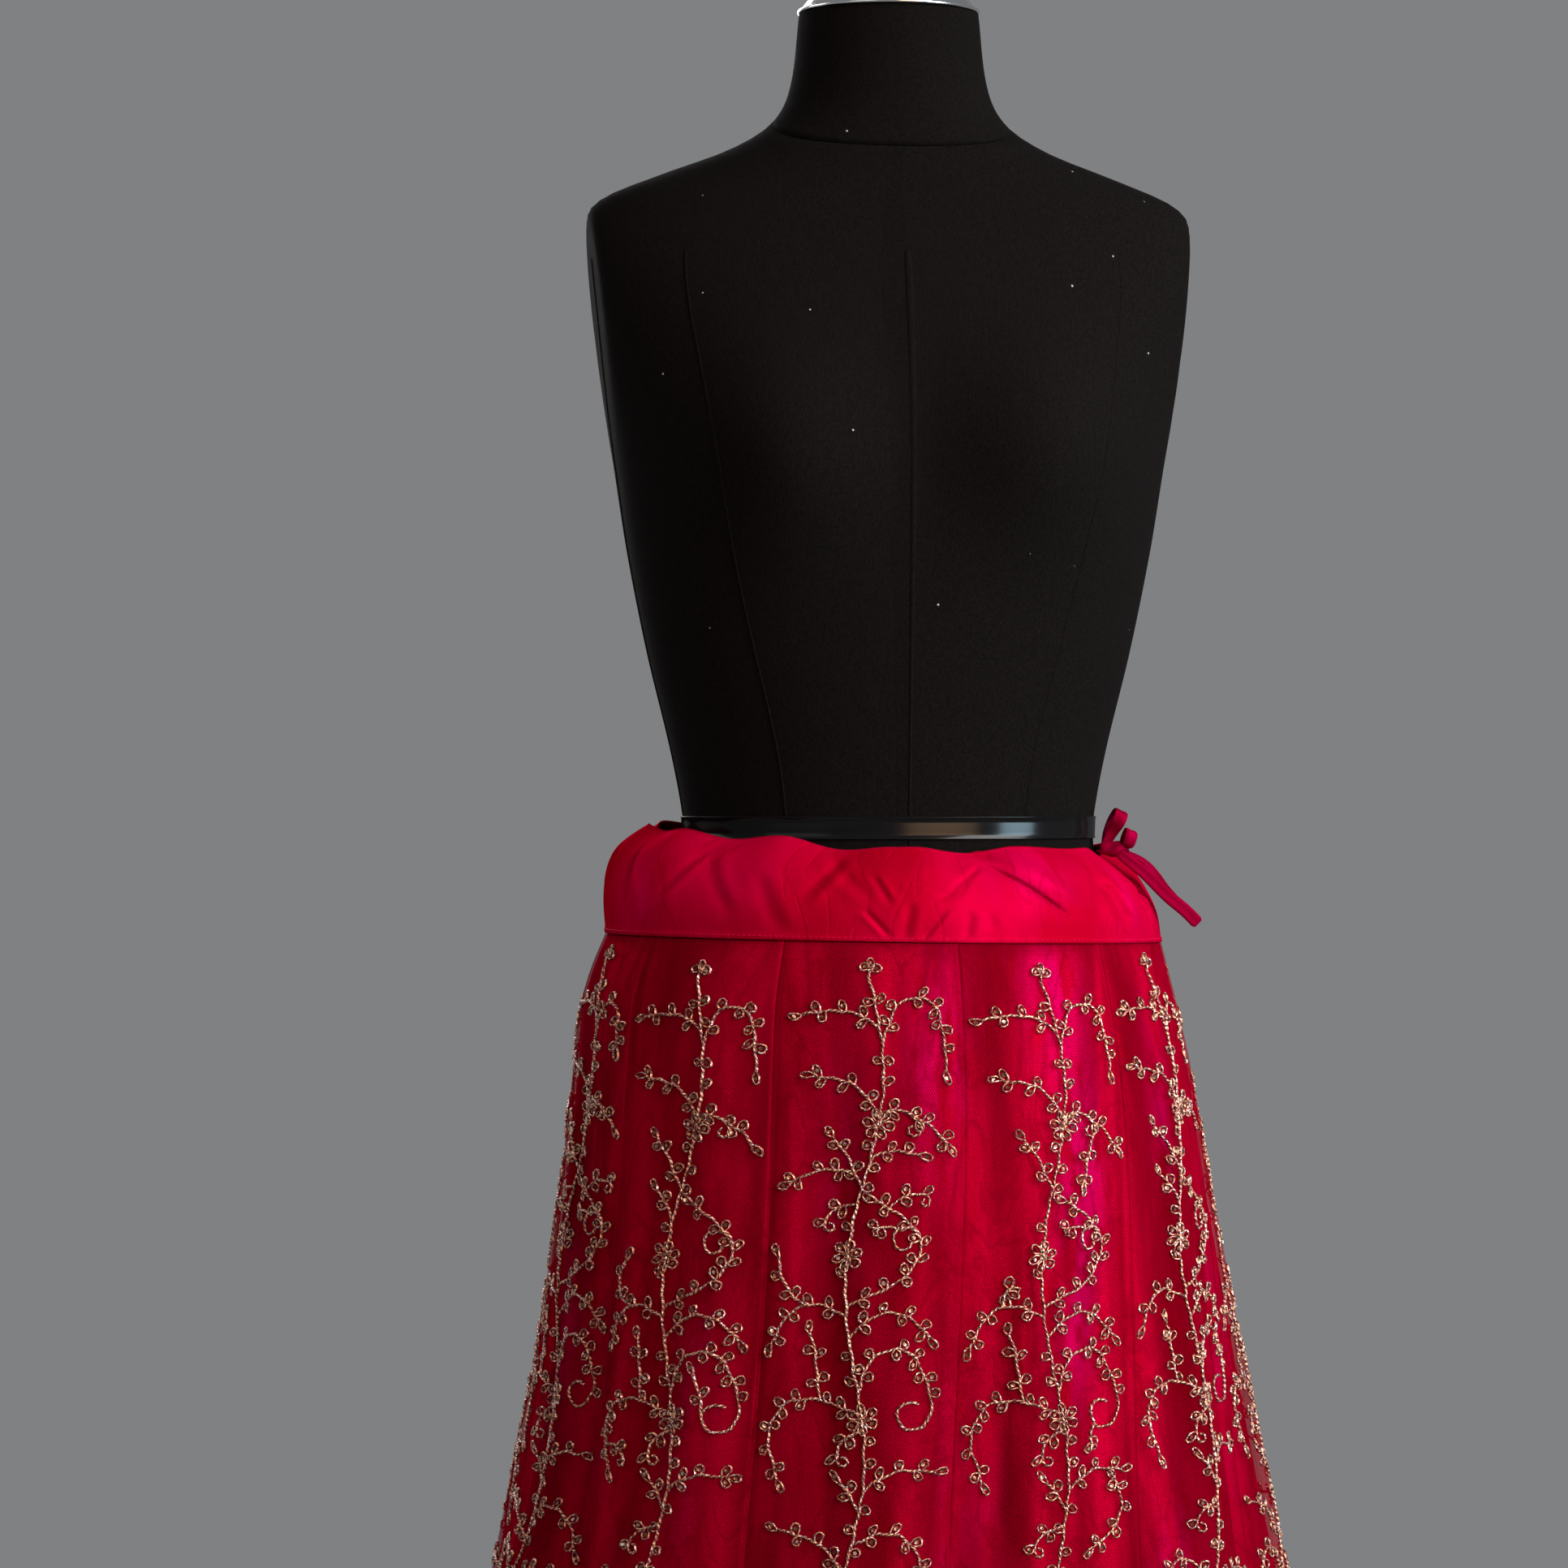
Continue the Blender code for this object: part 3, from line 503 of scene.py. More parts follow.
def full_turn(count):
    """Even angles once round."""
    return math.tau * np.arange(count) / count


def unit(vectors):
    return vectors / np.linalg.norm(vectors, axis=-1, keepdims=True)


def tangents(path, closed=False):
    ahead = np.roll(path, -1, axis=0) - np.roll(path, 1, axis=0) if closed else np.gradient(path, axis=0)
    return unit(ahead)


def signed_power(value, power):
    return np.sign(value) * np.abs(value) ** power


def read_table(rows, key):
    """The columns after the first, smoothly between rows, for an array of values of the first."""
    values = np.array(sorted(rows))
    padded = np.pad(values, ((1, 1), (0, 0)), mode="edge")
    rise = padded[2:] - padded[:-2]
    at, columns, slopes = values[:, 0], values[:, 1:], rise[:, 1:] / rise[:, :1]
    key = np.clip(key, at[0], at[-1])
    low = np.clip(np.searchsorted(at, key, side="right") - 1, 0, len(at) - 2)
    span = (at[low + 1] - at[low])[..., None]
    t = (key - at[low])[..., None] / span
    between = (
        columns[low] * (1 + 2 * t) * (1 - t) ** 2
        + columns[low + 1] * t * t * (3 - 2 * t)
        + slopes[low] * span * t * (1 - t) ** 2
        + slopes[low + 1] * span * t * t * (t - 1)
    )
    return np.moveaxis(between, -1, 0)


def smooth_path(points, steps):
    """A Catmull-Rom curve through the points, steps to each span."""
    points = np.array(points, float)
    ends = np.vstack([2 * points[0] - points[1], points, 2 * points[-1] - points[-2]])
    t = (np.arange(steps) / steps)[:, None]
    spans = []
    for before, start, stop, after in zip(ends, ends[1:], ends[2:], ends[3:]):
        square = 2 * before - 5 * start + 4 * stop - after
        cube = 3 * start - before - 3 * stop + after
        spans.append(0.5 * (2 * start + (stop - before) * t + square * t**2 + cube * t**3))
    return np.vstack([*spans, points[-1:]])


# ---- The cloth's surfaces ------------------------------------------------------------------------


def oval(sizes, angle):
    """Points on an oval with its own left, right, front and back sizes, and its outward normals."""
    left, right, front, back = sizes
    half_width = np.where(np.sin(angle) > 0, left, right)
    depth = np.where(np.cos(angle) > 0, front, back)
    level = np.zeros_like(half_width * angle)
    point = np.stack([half_width * np.sin(angle), -depth * np.cos(angle), level], -1)
    normal = np.stack([np.sin(angle) / half_width, -np.cos(angle) / depth, level], -1)
    return point, unit(normal)


def crease_depth(rows, angle, level, radius=NET_RADIUS, level_size=1.0):
    """How far the rows' creases press the cloth in."""
    depth = 0.0
    for row in rows:
        x = radius * wrapped(angle - math.radians(row.angle))
        y = level_size * (level - row.level)
        run_x = radius * math.radians(row.end_angle - row.angle)
        run_y = level_size * (row.end_level - row.level)
        length = math.hypot(run_x, run_y)
        along = (x * run_x + y * run_y) / length**2
        away = (y * run_x - x * run_y) / length / row.width
        ends = smoothstep(along / CREASE_FADE) * smoothstep((1 - along) / CREASE_FADE)
        ridge = abs(row.lip) * np.exp(-((away - math.copysign(RIDGE_PLACE, row.lip)) ** 2))
        depth = depth + row.depth * ends * (np.exp(-(away**2)) - ridge)
    return depth


def painted_sheen_at(rows, angle, height):
    """How much painted magenta sheen the satin gets, from 0 to 1."""
    painted_sheen = 0.0
    for row in rows:
        across = wrapped(angle - math.radians(row.angle)) / math.radians(row.half_angle)
        up = (height - row.height) / row.half_height
        painted_sheen = painted_sheen + row.strength * np.exp(-(across**2) - up**2)
    return np.clip(painted_sheen, 0.0, 1.0)


def surface_normal(surface, angle, level, step):
    """Outward normals of a surface. A negative step is for levels that count down."""
    across = surface(angle + abs(step), level) - surface(angle - abs(step), level)
    up = surface(angle, level + step) - surface(angle, level - step)
    return unit(np.cross(across, up))


def body_angle(cloth_angle, height):
    """Where round the body a line of cloth hangs: front kalis spread and turn near the waist."""
    ease = FRONT_EASE * smoothstep((height - FRONT_EASE_END) / (SEAM_HEIGHT - FRONT_EASE_END))
    lean = KALI_LEAN * smoothstep((SEAM_HEIGHT - height) / (SEAM_HEIGHT - KALI_LEAN_END))
    return cloth_angle + lean + ease * np.sin(cloth_angle)


def waist_lift(cloth_angle, height):
    """How much a level line of the cloth rises or sinks near the sloping waist seam."""
    near = smoothstep((height - SEAM_SLOPE_END) / (SEAM_HEIGHT - SEAM_SLOPE_END))
    return -SEAM_SLOPE * near * np.sin(cloth_angle)


def seam_angle(index):
    """The cloth angle of the seam on the low side of kali number index."""
    return (index - 0.5) * math.tau / KALI_COUNT + KALI_TURN


def fold_depth(cloth_angle, height):
    """How far the cloth lies inside the outline, in the valleys between the kalis."""
    depth = 0.0
    for index, fold in enumerate(FOLDS):
        across = wrapped(cloth_angle - seam_angle(index)) / (fold.spread * math.pi / KALI_COUNT)
        down = np.maximum((fold.start - height) / (fold.start - NET_HEM), 0.0)
        depth = depth + fold.hem_depth * down**FOLD_GROWTH * hump(across)
    return depth


def net_point(cloth_angle, height):
    """Points on the outer face of the net."""
    cloth_angle, height = np.broadcast_arrays(np.asarray(cloth_angle, float), height)
    point, outward = oval(read_table(SKIRT_SECTIONS, height), body_angle(cloth_angle, height))
    point[..., 2] = height + waist_lift(cloth_angle, height)
    depth = fold_depth(cloth_angle, height) + crease_depth(SHARED_FOLDS, cloth_angle, height)
    return point - outward * depth[..., None]


def net_normal(cloth_angle, height):
    return surface_normal(net_point, cloth_angle, height, NORMAL_STEP)


def lining_point(cloth_angle, height):
    """Points on the outer face of the lining: the net's, moved in, with creases of its own."""
    opened = smoothstep((SEAM_HEIGHT - height) / LINING_GAP_FALL)
    inside = NET_WALL + SEAM_GAP + (LINING_GAP - SEAM_GAP) * opened
    inside = inside + crease_depth(LINING_CREASES, cloth_angle, height)
    inside = inside + np.maximum(crease_depth(LINING_FLUTES, cloth_angle, height), FLUTE_CREST)
    return net_point(cloth_angle, height) - net_normal(cloth_angle, height) * inside[..., None]


def waistband_point(angle, down):
    """Points on the waistband's outer face, down being 0 at its top and 1 at its seam."""
    angle, down = np.broadcast_arrays(np.asarray(angle, float), down)
    drawn_in = np.clip(1 - down, 0, 1) ** TUCK_FALL
    tuck_in = 0.0
    dip = 0.0
    for tuck in TUCKS:
        share = hump(wrapped(angle - math.radians(tuck.angle)) / math.radians(tuck.spread))
        tuck_in = tuck_in + drawn_in * tuck.depth * share
        dip = dip + tuck.dip * share
    top = WAISTBAND_TOP - TOP_SLOPE * np.sin(angle) - TOP_DIP_FRONT * np.cos(angle) - dip
    bottom = SEAM_HEIGHT + SEAM_GAP + waist_lift(angle, SEAM_HEIGHT)
    point, outward = oval(read_table(WAISTBAND_SECTIONS, down), angle)
    point[..., 2] = top + (bottom - top) * down
    tuck_in = tuck_in + crease_depth(BAND_CREASES, angle, down, BAND_RADIUS, -WAISTBAND_DEPTH)
    lip = (1 - down) * WAISTBAND_DEPTH / BAND_LIP_WIDTH
    tuck_in = tuck_in - BAND_LIP * np.exp(-((lip - 1) ** 2))
    return point - outward * tuck_in[..., None]


def waistband_normal(angle, down):
    return surface_normal(waistband_point, angle, down, BAND_NORMAL_STEP)


def body_point(angle, height, out=0.0):
    """Points on the dress form's surface, moved out level by out."""
    half_width, front, back, squareness = read_table(BODY_SECTIONS, height)
    depth = np.where(np.cos(angle) > 0, front, back)
    x = (half_width + out) * signed_power(np.sin(angle), 2 / squareness)
    y = -(depth + out) * signed_power(np.cos(angle), 2 / squareness)
    across = (np.abs(x) - BUST_SPACING) / BUST_REACH_ACROSS
    up = (height - BUST_HEIGHT) / BUST_REACH_UP
    bust = BUST_DEPTH * np.exp(-(across**2) - up**2) * np.maximum(np.cos(angle), 0.0) ** 0.5
    return np.stack([x, y - bust, height + 0.0 * x], -1)


# ---- Meshes --------------------------------------------------------------------------------------


def new_object(name, mesh, material):
    obj = bpy.data.objects.new(name, mesh)
    mesh.materials.append(material)
    bpy.context.scene.collection.objects.link(obj)
    return obj


def mesh_object(name, points, faces, material, uvs=None):
    """A smooth object from vertex positions, faces of one size and a UV for each face's corner."""
    mesh = bpy.data.meshes.new(name)
    mesh.vertices.add(len(points))
    mesh.vertices.foreach_set("co", np.ascontiguousarray(points, np.float32).ravel())
    mesh.loops.add(faces.size)
    mesh.loops.foreach_set("vertex_index", np.ascontiguousarray(faces, np.int32).ravel())
    mesh.polygons.add(len(faces))
    mesh.polygons.foreach_set("loop_start", np.arange(0, faces.size, faces.shape[1], dtype=np.int32))
    if uvs is not None:
        layer = mesh.uv_layers.new(name="UVMap")
        layer.uv.foreach_set("vector", np.ascontiguousarray(uvs, np.float32).ravel())
    mesh.update(calc_edges=True)
    mesh.validate()
    mesh.shade_smooth()
    return new_object(name, mesh, material)


def grid_corners(rows, columns, cyclic_rows=False, cyclic_columns=False):
    """The row and column of each corner of a grid's quads, counting on past the last where it closes."""
    first_rows = np.arange(rows if cyclic_rows else rows - 1)
    first_columns = np.arange(columns if cyclic_columns else columns - 1)
    first = np.stack(np.meshgrid(first_rows, first_columns, indexing="ij"), -1).reshape(-1, 1, 2)
    return first + np.array(((0, 0), (1, 0), (1, 1), (0, 1)))


def grid_quads(rows, columns, **cyclic):
    """Vertex numbers of the quads of a grid whose vertices run along its columns, row by row."""
    row, column = np.moveaxis(grid_corners(rows, columns, **cyclic), -1, 0)
    return row % rows * columns + column % columns


def grid_object(name, points, across, up, material, **cyclic):
    """A cloth grid from an array of rows of points, facing out where rows go down, with its UVs."""
    quads = grid_quads(*points.shape[:2], **cyclic)
    uv = np.stack(np.broadcast_arrays(across, up), -1).reshape(-1, 2)
    return mesh_object(name, points.reshape(-1, 3), quads, material, uv[quads])


def thicken(obj, wall):
    solidify = obj.modifiers.new("Wall", "SOLIDIFY")
    solidify.thickness = wall
    solidify.offset = -1.0
    solidify.use_even_offset = False


def close_ends(obj):
    """Close a mesh's open rims with flat faces."""
    bm = bmesh.new()
    bm.from_mesh(obj.data)
    bmesh.ops.holes_fill(bm, edges=bm.edges, sides=0)
    bmesh.ops.recalc_face_normals(bm, faces=bm.faces)
    bm.to_mesh(obj.data)
    bm.free()


def arc_lengths(points):
    """The distance along rows of points, from each row's first."""
    steps = np.linalg.norm(np.diff(points, axis=1), axis=-1)
    return np.concatenate([np.zeros((len(points), 1)), np.cumsum(steps, axis=1)], axis=1)


def set_attribute(obj, name, values):
    attribute = obj.data.attributes.new(name, "FLOAT", "POINT")
    attribute.data.foreach_set("value", values.astype(np.float32).ravel())


def declare(piece, slot, *nodes):
    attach(piece, "root")
    if nodes:
        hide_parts(*nodes)
    return piece


# ---- Materials -----------------------------------------------------------------------------------


class Shader:
    """A material with a Principled shader, and short ways to add nodes in front of it."""

    def __init__(self, name, **sockets):
        self.material = bpy.data.materials.new(name)
        self.material.use_nodes = True
        self.tree = self.material.node_tree
        self.principled = self.tree.nodes["Principled BSDF"]
        for socket, value in sockets.items():
            self.principled.inputs[socket.replace("_", " ")].default_value = value

    def node(self, kind, output, values=(), **properties):
        """The output of a new node whose inputs are given values or linked to other outputs."""
        node = self.tree.nodes.new("ShaderNode" + kind)
        for key, value in properties.items():
            setattr(node, key, value)
        for socket, value in dict(values).items():
            if isinstance(value, bpy.types.NodeSocket):
                self.tree.links.new(value, node.inputs[socket])
            else:
                node.inputs[socket].default_value = value
        return node.outputs[output]

    def uv(self):
        return self.node("UVMap", "UV", uv_map="UVMap")

    def position(self):
        return self.node("TexCoord", "Object")

    def attribute(self, name):
        return self.node("Attribute", "Fac", attribute_name=name)

    def scaled(self, vector, scale, turn=0.0):
        return self.node("Mapping", "Vector", {"Vector": vector, "Scale": scale, "Rotation": (0, 0, turn)})

    def noise(self, vector, scale, detail=2.0, distortion=0.0):
        values = {"Vector": vector, "Scale": scale, "Detail": detail, "Distortion": distortion}
        return self.node("TexNoise", "Fac", values)

    def stretched(self, vector, scale, detail, distortion=0.0):
        """Noise with its own scale along each axis."""
        return self.noise(self.scaled(vector, scale), 1.0, detail, distortion)

    def wave(self, vector, scale, distortion=0.0, direction="X"):
        values = {"Vector": vector, "Scale": scale, "Distortion": distortion}
        return self.node("TexWave", "Fac", values, bands_direction=direction)

    def ramp(self, fac, low, high):
        """Fac stretched softly so that low becomes 0 and high becomes 1."""
        values = {"Value": fac, "From Min": low, "From Max": high}
        return self.node("MapRange", "Result", values, interpolation_type="SMOOTHSTEP")

    def between(self, fac, low, high):
        """Fac stretched so that 0 becomes low and 1 becomes high."""
        return self.node("MapRange", "Result", {"Value": fac, "To Min": low, "To Max": high})

    def math(self, operation, a, b=0.0):
        return self.node("Math", "Value", {0: a, 1: b}, operation=operation)

    def mix(self, fac, a, b):
        """Between two colours."""
        return self.node("Mix", 2, {0: fac, 6: a, 7: b}, data_type="RGBA")

    def set(self, socket, value):
        self.tree.links.new(value, self.principled.inputs[socket])

    def bump(self, height, distance, strength=1.0):
        values = {"Height": height, "Distance": distance, "Strength": strength}
        self.set("Normal", self.node("Bump", "Normal", values))


def colour(red, green, blue):
    return (red, green, blue, 1.0)


def satin_material(name, gloss, streaks, deep, bright, painted_sheen):
    """Satin: fine floats across the cloth, a coloured gloss, painted light and shade in soft streaks and
    along crumple lines, and a painted magenta sheen where it would face the light.
    """
    s = Shader(name, Metallic=gloss, Specular_IOR_Level=0.0, Specular_Tint=colour(1.0, 0.0, 0.30))
    uv = s.uv()
    # painted light and shade: soft streaks between the deep and bright colours, standing in for the satin's
    # sheen
    painted_sheen_streaks = s.ramp(s.stretched(uv, (*streaks, 1), 4.0, 0.5), 0.36, 0.64)
    patchy = s.ramp(s.stretched(uv, (64, 22, 1), 6.0), 0.36, 0.54)
    # painted magenta sheen where the table puts it, broken up by noise
    face = s.math("MULTIPLY", s.attribute("painted_sheen"), patchy)
    cloth = s.mix(face, s.mix(painted_sheen_streaks, deep, bright), painted_sheen)
    crumple = s.stretched(uv, (34, 15, 1), 3.0, 0.6)
    flat = s.ramp(s.math("ABSOLUTE", s.math("SUBTRACT", crumple, 0.5)), 0.0, 0.045)
    # painted shade along the crumple lines, which the bump also presses in
    cloth = s.mix(s.math("MULTIPLY", s.math("SUBTRACT", 1.0, flat), 0.38), cloth, deep)
    slubs = s.stretched(uv, (150, 520, 1), 3.0)
    threads = s.stretched(uv, (2200, 320, 1), 2.0)
    grain = s.math("MULTIPLY", s.ramp(slubs, 0.25, 0.75), s.ramp(threads, 0.1, 0.5))
    s.set("Base Color", s.mix(s.math("MULTIPLY", grain, 0.22), cloth, deep))
    s.set("Roughness", s.between(threads, 0.46, 0.60))
    rumple = s.math("ADD", s.math("MULTIPLY", flat, 0.22), s.stretched(uv, (70, 34, 1), 3.0))
    s.bump(s.math("ADD", s.math("MULTIPLY", threads, 0.12), rumple), 0.0011, 0.7)
    return s.material


def net_material():
    """Fine netting: two slanting sets of thread with open holes between them."""
    s = Shader(
        "crimson_net",
        Roughness=0.75,
        Specular_IOR_Level=0.0,
        Sheen_Weight=0.05,
        Sheen_Roughness=0.5,
        Sheen_Tint=colour(1.0, 0.02, 0.09),
    )
    uv = s.uv()
    turns = (math.radians(32), math.radians(-32))
    threads = [s.ramp(s.wave(s.scaled(uv, (1, 1, 1), turn), 230.0), 0.55, 0.95) for turn in turns]
    mesh = s.math("MAXIMUM", *threads)
    doubled = s.attribute("doubled")
    clouds = s.ramp(s.stretched(uv, (30, 9, 1), 3.0), 0.3, 0.7)
    s.set("Base Color", s.mix(clouds, colour(0.185, 0.0, 0.005), colour(0.315, 0.0, 0.014)))
    s.set("Alpha", s.math("MAXIMUM", s.between(mesh, 0.12, 0.54), doubled))
    return s.material


def zari_material():
    """Twisted antique-gold cord with painted light and shade along its strands and painted silvery glints.
    """
    s = Shader("zari_cord", Metallic=0.30, Roughness=0.42, Specular_IOR_Level=0.55)
    strands = s.wave(s.uv(), 185.0, direction="DIAGONAL")
    patches = s.noise(s.position(), 260.0, 3.0)
    # painted glints: white flecks where the cord would catch the light
    painted_glints = s.ramp(s.noise(s.position(), 800.0, 1.0), 0.60, 0.68)
    gold = s.mix(s.ramp(patches, 0.35, 0.65), colour(0.49, 0.165, 0.128), colour(0.93, 0.48, 0.255))
    flecks = s.ramp(s.noise(s.position(), 640.0, 2.0), 0.38, 0.50)
    # painted light and shade along the twisted strands, with random dark flecks
    lit = s.math("MULTIPLY", s.ramp(strands, 0.12, 0.66), flecks)
    twisted = s.mix(lit, colour(0.130, 0.018, 0.015), gold)
    s.set("Base Color", s.mix(painted_glints, twisted, colour(1.0, 0.92, 0.84)))
    s.bump(strands, 0.0005, 0.9)
    return s.material


def sequin_material():
    s = Shader("zari_sequin", Metallic=0.75, Roughness=0.30)
    tone = s.ramp(s.noise(s.position(), 120.0, 1.0), 0.58, 0.70)
    s.set("Base Color", s.mix(tone, colour(0.16, 0.08, 0.045), colour(0.62, 0.50, 0.40)))
    return s.material


def cord_fabric_material():
    """The drawstring's satin, duller than the waistband, streaked along its length."""
    s = Shader("drawstring_satin", Metallic=0.25, Roughness=0.5, Specular_IOR_Level=0.0)
    streaks = s.stretched(s.uv(), (320, 40, 1), 3.0)
    fine = s.noise(s.position(), 900.0, 2.0)
    tone = s.ramp(streaks, 0.3, 0.7)
    s.set("Base Color", s.mix(tone, colour(0.125, 0.0, 0.010), colour(0.225, 0.0, 0.022)))
    s.bump(s.math("ADD", streaks, s.math("MULTIPLY", fine, 0.3)), 0.0003, 0.4)
    return s.material


def thread_material():
    s = Shader("crimson_thread", Roughness=0.55, Specular_IOR_Level=0.05)
    twist = s.wave(s.position(), 400.0, 2.0)
    s.set("Base Color", s.mix(twist, colour(0.30, 0.0, 0.014), colour(0.58, 0.0, 0.055)))
    return s.material


def jersey_material():
    """Black knitted jersey with a little lint on it."""
    s = Shader("black_jersey", Roughness=0.95, Specular_IOR_Level=0.04)
    ribs = s.wave(s.uv(), 260.0, 0.6)
    fuzz = s.noise(s.position(), 700.0, 3.0)
    lint = s.node("TexVoronoi", "Distance", {"Vector": s.position(), "Scale": 34.0})
    speck = s.ramp(lint, 0.028, 0.016)
    tone = s.ramp(fuzz, 0.3, 0.7)
    cloth = s.mix(tone, colour(0.0024, 0.0018, 0.0016), colour(0.0046, 0.0035, 0.0031))
    s.set("Base Color", s.mix(speck, cloth, colour(0.30, 0.28, 0.26)))
    s.bump(s.math("ADD", ribs, fuzz), 0.00012, 0.4)
    return s.material


def gloss_belt_material():
    coat = {"Coat_Weight": 0.32, "Coat_Roughness": 0.15}
    s = Shader("black_gloss_belt", Roughness=0.3, Specular_IOR_Level=0.0, **coat)
    scuffs = s.stretched(s.position(), (8, 8, 160), 4.0)
    s.set("Base Color", s.mix(scuffs, colour(0.002, 0.002, 0.0025), colour(0.005, 0.0045, 0.0045)))
    s.bump(scuffs, 0.00004, 0.5)
    return s.material


def chrome_material():
    s = Shader("chrome", Metallic=1.0)
    haze = s.noise(s.position(), 22.0, 4.0)
    s.set("Base Color", s.mix(haze, colour(0.62, 0.62, 0.63), colour(0.78, 0.78, 0.79)))
    s.set("Roughness", s.between(haze, 0.10, 0.24))
    return s.material


def floor_material():
    s = Shader("pale_floor", Roughness=0.8)
    mottle = s.noise(s.position(), 3.0, 4.0)
    s.set("Base Color", s.mix(mottle, colour(0.52, 0.51, 0.50), colour(0.58, 0.57, 0.56)))
    return s.material


# ---- The embroidery's drawing --------------------------------------------------------------------

# A vine is drawn flat, in metres across from the kali's middle and up from its top edge.
ZARI_STEP = 0.0030
ZARI_PITCH = 0.0034
ZARI_HALF_WIDTH = 0.00096
ZARI_HALF_HEIGHT = 0.00085
LEAF_HALF_WIDTH = 0.00072
LEAF_HALF_HEIGHT = 0.00068
CORD_RIDGE = (0.1, 1.9, 0.1)  # the cord's profile, from side to side, in half heights
LEAF_STEPS = 9
LEAF_LENGTH = 0.0070
LEAF_WIDTH = 0.0057
LEAF_TURN = math.radians(60)
LEAF_SPACING = 0.0128
PAIRED_SPACING = 1.3  # leaves that all come in pairs stand this many times as far apart
FIRST_LEAF = 0.011
LEAFY_SHARE = 0.97
LEAFY_SHARE_CURLED = 0.66
TIP_LENGTH = 0.0086
TIP_WIDTH = 0.0047
CROWN_LENGTH = 0.005
CROWN_TURNS = (-66, 0, 66)
ROSETTE_LEAVES = 6
ROSETTE_LEAF = 0.0074
ROSETTE_CENTRE = 0.0017
ROSETTE_OPENING = 1.2  # its leaves start at this many radii of its centre loop
ROSETTE_TURN = 7  # how far a rosette is turned, in radians to each metre down the cloth
SEQUIN_CORNERS = 5
SEQUIN_PLACE = 0.56  # how far along its leaf a sequin lies
SEQUIN_RADIUS = 0.0013
SEQUIN_HEIGHT = 0.0004
SEQUIN_CUP = 1.6  # its rim is this many times as high as its middle
SEQUIN_TILT = 0.35
SEAM_CLEAR = 0.0025
SEWN_WANDER = 0.00045
CLOTH_TO_HEIGHT = 0.975  # a metre down the sloping cloth takes this much height
MAP_ROWS = 60  # a kali's width is measured at this many heights, as far as this turn to each side
MAP_TURN = 0.05

# Hand-laid cord wanders in waves, across and then up: each wave's rates across and up, its phase
# and its share.
SEWN_WAVES = (
    ((120, 430, 0.0, 1.0), (-310, 190, 1.7, 0.6)),
    ((470, -140, 0.8, 1.0), (230, 260, 0.0, 0.6)),
)

# How each kind of branch grows: its heading away from the stem's, its length, how far it turns in
# all and over which part of its length, how much more its end curls, whether all its leaves come
# in pairs, and a twig on it. A branch that doesn't curl ends in a leaf.
Branch = namedtuple(
    "Branch",
    "heading length turn early late curl paired twig_at twig",
    defaults=(0.0, 1.0, 0, False, 0.0, None),
)
BRANCHES = {
    "arch": Branch(24, 0.090, 156, 0.12, 0.74),
    "spray": Branch(44, 0.050, 46, late=0.8),
    "low spray": Branch(34, 0.050, 58, late=0.9, paired=True),
    "hook": Branch(24, 0.050, 96, 0.05, 0.50, 300, twig_at=0.46, twig="hanging twig"),
    "hanging twig": Branch(-8, 0.032, 22, paired=True),
    "crook": Branch(72, 0.104, -76, 0.2, 0.72, -340, twig_at=0.62, twig="back twig"),
    "back twig": Branch(-16, 0.036, -26, paired=True),
    "twig": Branch(34, 0.036, 18, paired=True),
    "rise": Branch(30, 0.056, -44),
    "long curl": Branch(22, 0.132, 150, 0.02, 0.50, 330),
    "bough": Branch(62, 0.096, 128, 0.2, 0.9, twig_at=0.30, twig="up twig"),
    "up twig": Branch(-74, 0.040, 10, paired=True),
    "tendril": Branch(100, 0.040, 60, late=0.6, curl=330),
    "dropper": Branch(56, 0.058, 92, 0.1, 0.9),
}
CURL_START = 0.55
CURL_POWER = 1.5

# What grows from a stem along one repeat of the pattern: how far down, on which side, and what.
PATTERN_LENGTH = 0.345
PATTERN_REPEATS = 5
PATTERN = table(
    "down side kind",
    (0.030, -1, "spray"),
    (0.040, 1, "arch"),
    (0.088, 0, "rosette"),
    (0.084, -1, "low spray"),
    (0.086, 1, "hook"),
    (0.126, -1, "twig"),
    (0.164, 0, "rosette"),
    (0.196, 1, "crook"),
    (0.170, -1, "rise"),
    (0.212, 1, "dropper"),
    (0.200, -1, "dropper"),
    (0.246, 1, "long curl"),
    (0.262, 0, "rosette"),
    (0.258, -1, "bough"),
    (0.268, -1, "tendril"),
    (0.304, 1, "spray"),
    (0.316, -1, "twig"),
)
BRANCH_SIZES = 0.95 ** np.arange(14)
CROWDING = 0.07  # the share of a branch that may lie where the cloth is taken
BASE_REACH = 0.0145  # a branch may lie over others as far as this from where it starts
ROSETTE_REACH = 0.012
FILL_KINDS = ("dropper", "twig", "tendril", "spray", "rise")
FILL_STRIDE = 3  # a filling branch may start at every third point of a cord
FILL_TOP = 0.080
FILL_DOWNWARD = -0.5  # a branch grows back along a cord whose heading's cosine is below this
FILL_SIZES = (1.0, 0.84, 0.70, 0.60)
FILL_CROWDING = 0.035
FILL_BASE_REACH = 0.0100
STEM_SWAY = 0.009
STEM_SWAY_LENGTH = 0.236
STEM_SWAY_RUN = 0.05
STEM_SPREAD_RUN = 0.16
STEM_BOTTOM = 0.985
STEM_START_CLEAR = 0.006
STEM_END_CLEAR = 0.012
STEM_LEAF_SPACING = 0.0125
STEM_FIRST_LEAF = 0.014
LEAF_OUTER_PART = slice(3, 8)
LEAF_ROOM = 0.35  # a stem's leaf has to find room this much beyond its own length
LEAF_CROWDING = 0.5
VINE_TOP = 0.004
VINE_OVERRUN = 0.012
VINE_DROP = 0.0035  # how much lower some kalis' vines start
VINE_DROP_TURN = 2.4
